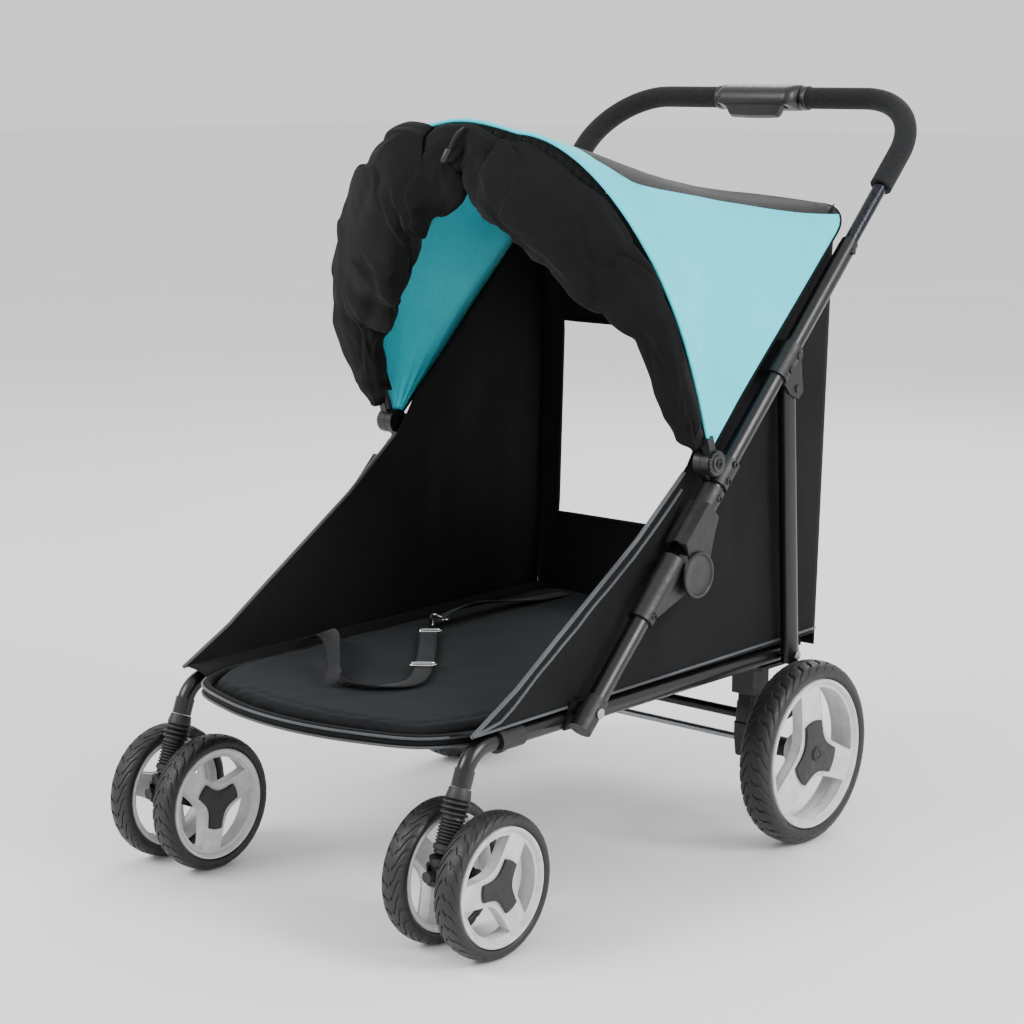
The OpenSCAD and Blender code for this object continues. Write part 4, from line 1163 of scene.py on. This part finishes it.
def console():
    """Fold lever housing round the middle of the handle, open below for the lever."""
    collar = 17.8
    section = [(-34.5, -8), (-35, -1), (-33.5, 7), (-28.5, 12.5), (-20, 16.5), (-10, 19), (0, 20), (10, 18),
               (17.4, 9.4), (19.6, 0), (17, -10), (9.4, -17), (0, -19), (-8, -17.6), (-13.2, -15),
               (-13.2, -8), (-13.2, 8.5), (-31.6, 8.5), (-32.2, -8)]
    shut = section[:15] + [(-15, -14.6), (-20, -12.6), (-26, -10.6), (-32, -9)]

    def round_collar(scale):
        ring = []
        for y, z in shut:
            length = hypot(y, z)
            ring.append((y / length * collar * scale, z / length * collar * scale))
        return ring

    def mixed(a, b, share):
        return [(lerp(p[0], q[0], share), lerp(p[1], q[1], share)) for p, q in zip(a, b)]

    stations = [(-80, round_collar(0.90)), (-79, round_collar(1.0)), (-72, round_collar(1.02)),
                (-71, round_collar(0.97)), (-69, round_collar(0.97)), (-68, mixed(round_collar(1), shut, 0.35)),
                (-64, mixed(round_collar(1), shut, 0.80)), (-58, shut), (-53.5, shut), (-53, section),
                (-20, section)]
    stations += [(-x, outline) for x, outline in reversed(stations)]
    rows = [[(BAR + Vector((x, y, z))) * MM for y, z in outline] for x, outline in stations]
    shell = solid("lever_housing", rows)
    modify(shell, "BEVEL", width=1.2 * MM, segments=2, angle_limit=radians(50))
    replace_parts(fit(smooth(shell, 50), "gloss_plastic", "handle"), "console")
    rows = []
    for k in range(33):
        x = lerp(-50, 50, k / 32)
        low = -29.5 + 15 * smoothstep((abs(x) - 40) / 11) ** 1.4 + 1.8 * (x / 50) ** 2
        lip = lerp(-30.4, -29.2, (x / 50) ** 2)
        rows.append([(BAR + Vector((x, y, z))) * MM for y, z in (
            (-30.6, -1.5), (-16.2, -1.5), (-15.8, -6), (-15.8, low + 6), (-17.6, low + 1.6), (-21, low),
            (-25, low + 0.4), (lip, low + 4.6), (lip - 0.2, low + 8), (-30.6, -7))])
    lever = smooth(solid("fold_lever", rows), 40)
    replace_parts(fit(lever, "gloss_plastic", "trigger"), "fold_trigger")


def springs():
    """Coil springs of plated wire: two in the front boots, two at the back."""
    for side_name, side in SIDES.items():
        top, foot = strut_ends(side)
        low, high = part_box("front_springs")
        length = (high.z - low.z) / cos(STRUT_LEAN) - 8 * MM
        coil = tube(f"front_coil_{side_name}",
                    [(9 * MM * cos(k * 0.5), 9 * MM * sin(k * 0.5), length * k / 132) for k in range(133)],
                    1.1 * MM, 8)
        lift = (low.z + high.z) / 2 - foot.z
        start = Matrix.Translation((0, 0, lift / cos(STRUT_LEAN) - length / 2))
        coil.data.transform(Matrix.Translation(foot) @ LEAN @ start)
        dress(coil, M["zinc_steel"])
        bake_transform(coil)
        if side == 1:
            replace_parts(coil, "front_springs")
    low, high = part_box("rear_springs")
    reach = high.x
    radius = (high.y - low.y) / 2 - 1.3 * MM
    coils = []
    for side in (1, -1):
        centre = Vector((side * (reach - radius - 1.3 * MM), (low.y + high.y) / 2, 0))
        coils.append(tube("coil", [centre + Vector((radius * cos(k * 0.5), radius * sin(k * 0.5),
                                                    lerp(low.z + 0.0014, high.z - 0.0014, k / 110)))
                                   for k in range(111)], 1.3 * MM, 8))
    rear = dress(join("rear_coils", coils), M["zinc_steel"])
    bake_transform(rear)
    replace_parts(rear, "rear_springs")


def axle_housings():
    """Tapered blocks that carry the rear axle and slide on the springs, each with a collar towards its wheel."""
    stations = [(103, 13.5), (104.5, 15.5), (130, 17.2), (150, 17.2), (152, 15.6), (179, 14.4), (181, 13.2),
                (203.5, 12.8), (205, 12.0)]
    pieces = []
    for side in (1, -1):
        rows = []
        for z, half in stations:
            ring = []
            for k in range(32):
                a = 2 * pi * (k + 0.5) / 32
                c, s = cos(a), sin(a)
                reach = half / (abs(c) ** 6 + abs(s) ** 6) ** (1 / 6)
                ring.append(Vector((side * 222 + reach * c, 180 + reach * s, z)) * MM)
            rows.append(ring)
        block = solid("block", rows)
        collar = spun("collar", [(5.3, 236), (15.5, 236), (15.5, 252), (13.4, 255), (13.0, 286.5), (12, 288),
                                 (5.3, 288)], 40, MM)
        collar.data.transform(Matrix.Translation((0, 0.180, 0.125)) @ FACING[side])
        pieces += [block, collar]
    housing = smooth(join("axle_housings", pieces), 35)
    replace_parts(fit(housing, "black_plastic", "rear_axle"), "rear_axle_blocks")


bellows()
springs()
axle_housings()
toothed_knobs()
medallions()
screws()
console()


# ---- camera, light and floor ----

def place_camera():
    data = bpy.data.cameras.new("camera")
    data.sensor_width = 36
    data.lens = 84.59
    data.shift_x = -0.0033
    data.shift_y = 0.0019
    camera = bpy.data.objects.new("camera", data)
    bpy.context.scene.collection.objects.link(camera)
    camera.location = (2.0917, -2.4394, 1.0377)
    camera.rotation_euler = (radians(90 - 10.569), 0, radians(41.264))
    bpy.context.scene.camera = camera


def soft_light(name, place, size, watts):
    """A white panel of light that faces the middle of the stroller."""
    data = bpy.data.lights.new(name, "AREA")
    data.shape = "RECTANGLE"
    data.size, data.size_y = size
    data.energy = watts
    light = bpy.data.objects.new(name, data)
    bpy.context.scene.collection.objects.link(light)
    light.location = place
    light.rotation_euler = (Vector((0, 0, 0.45)) - Vector(place)).to_track_quat("-Z", "Y").to_euler()


def studio():
    reach = 30
    ground = new_piece("floor", [(-reach, -reach, 0), (reach, -reach, 0), (reach, reach, 0), (-reach, reach, 0)],
                       faces=[(0, 1, 2, 3)])
    material, tree, shader, place = begin("matt_white_floor", Roughness=0.95)
    feed(tree, shader, {"Base Color": blotches(tree, place, 900, 0.2, 0.8, "#F4F4F4", "#F8F8F8")})
    dress(ground, material)
    world = bpy.data.worlds.new("pale_room")
    world.use_nodes = True
    feed(world.node_tree, world.node_tree.nodes["Background"], {"Color": rgba("#FFFFFF"), "Strength": 1.1})
    bpy.context.scene.world = world
    soft_light("key", (-1.6, -3.2, 3.0), (2.0, 1.6), 120)
    soft_light("side", (3.4, 0.4, 2.2), (1.4, 2.0), 120)
    soft_light("back", (-1.2, 3.4, 2.6), (2.6, 1.4), 50)


place_camera()
studio()
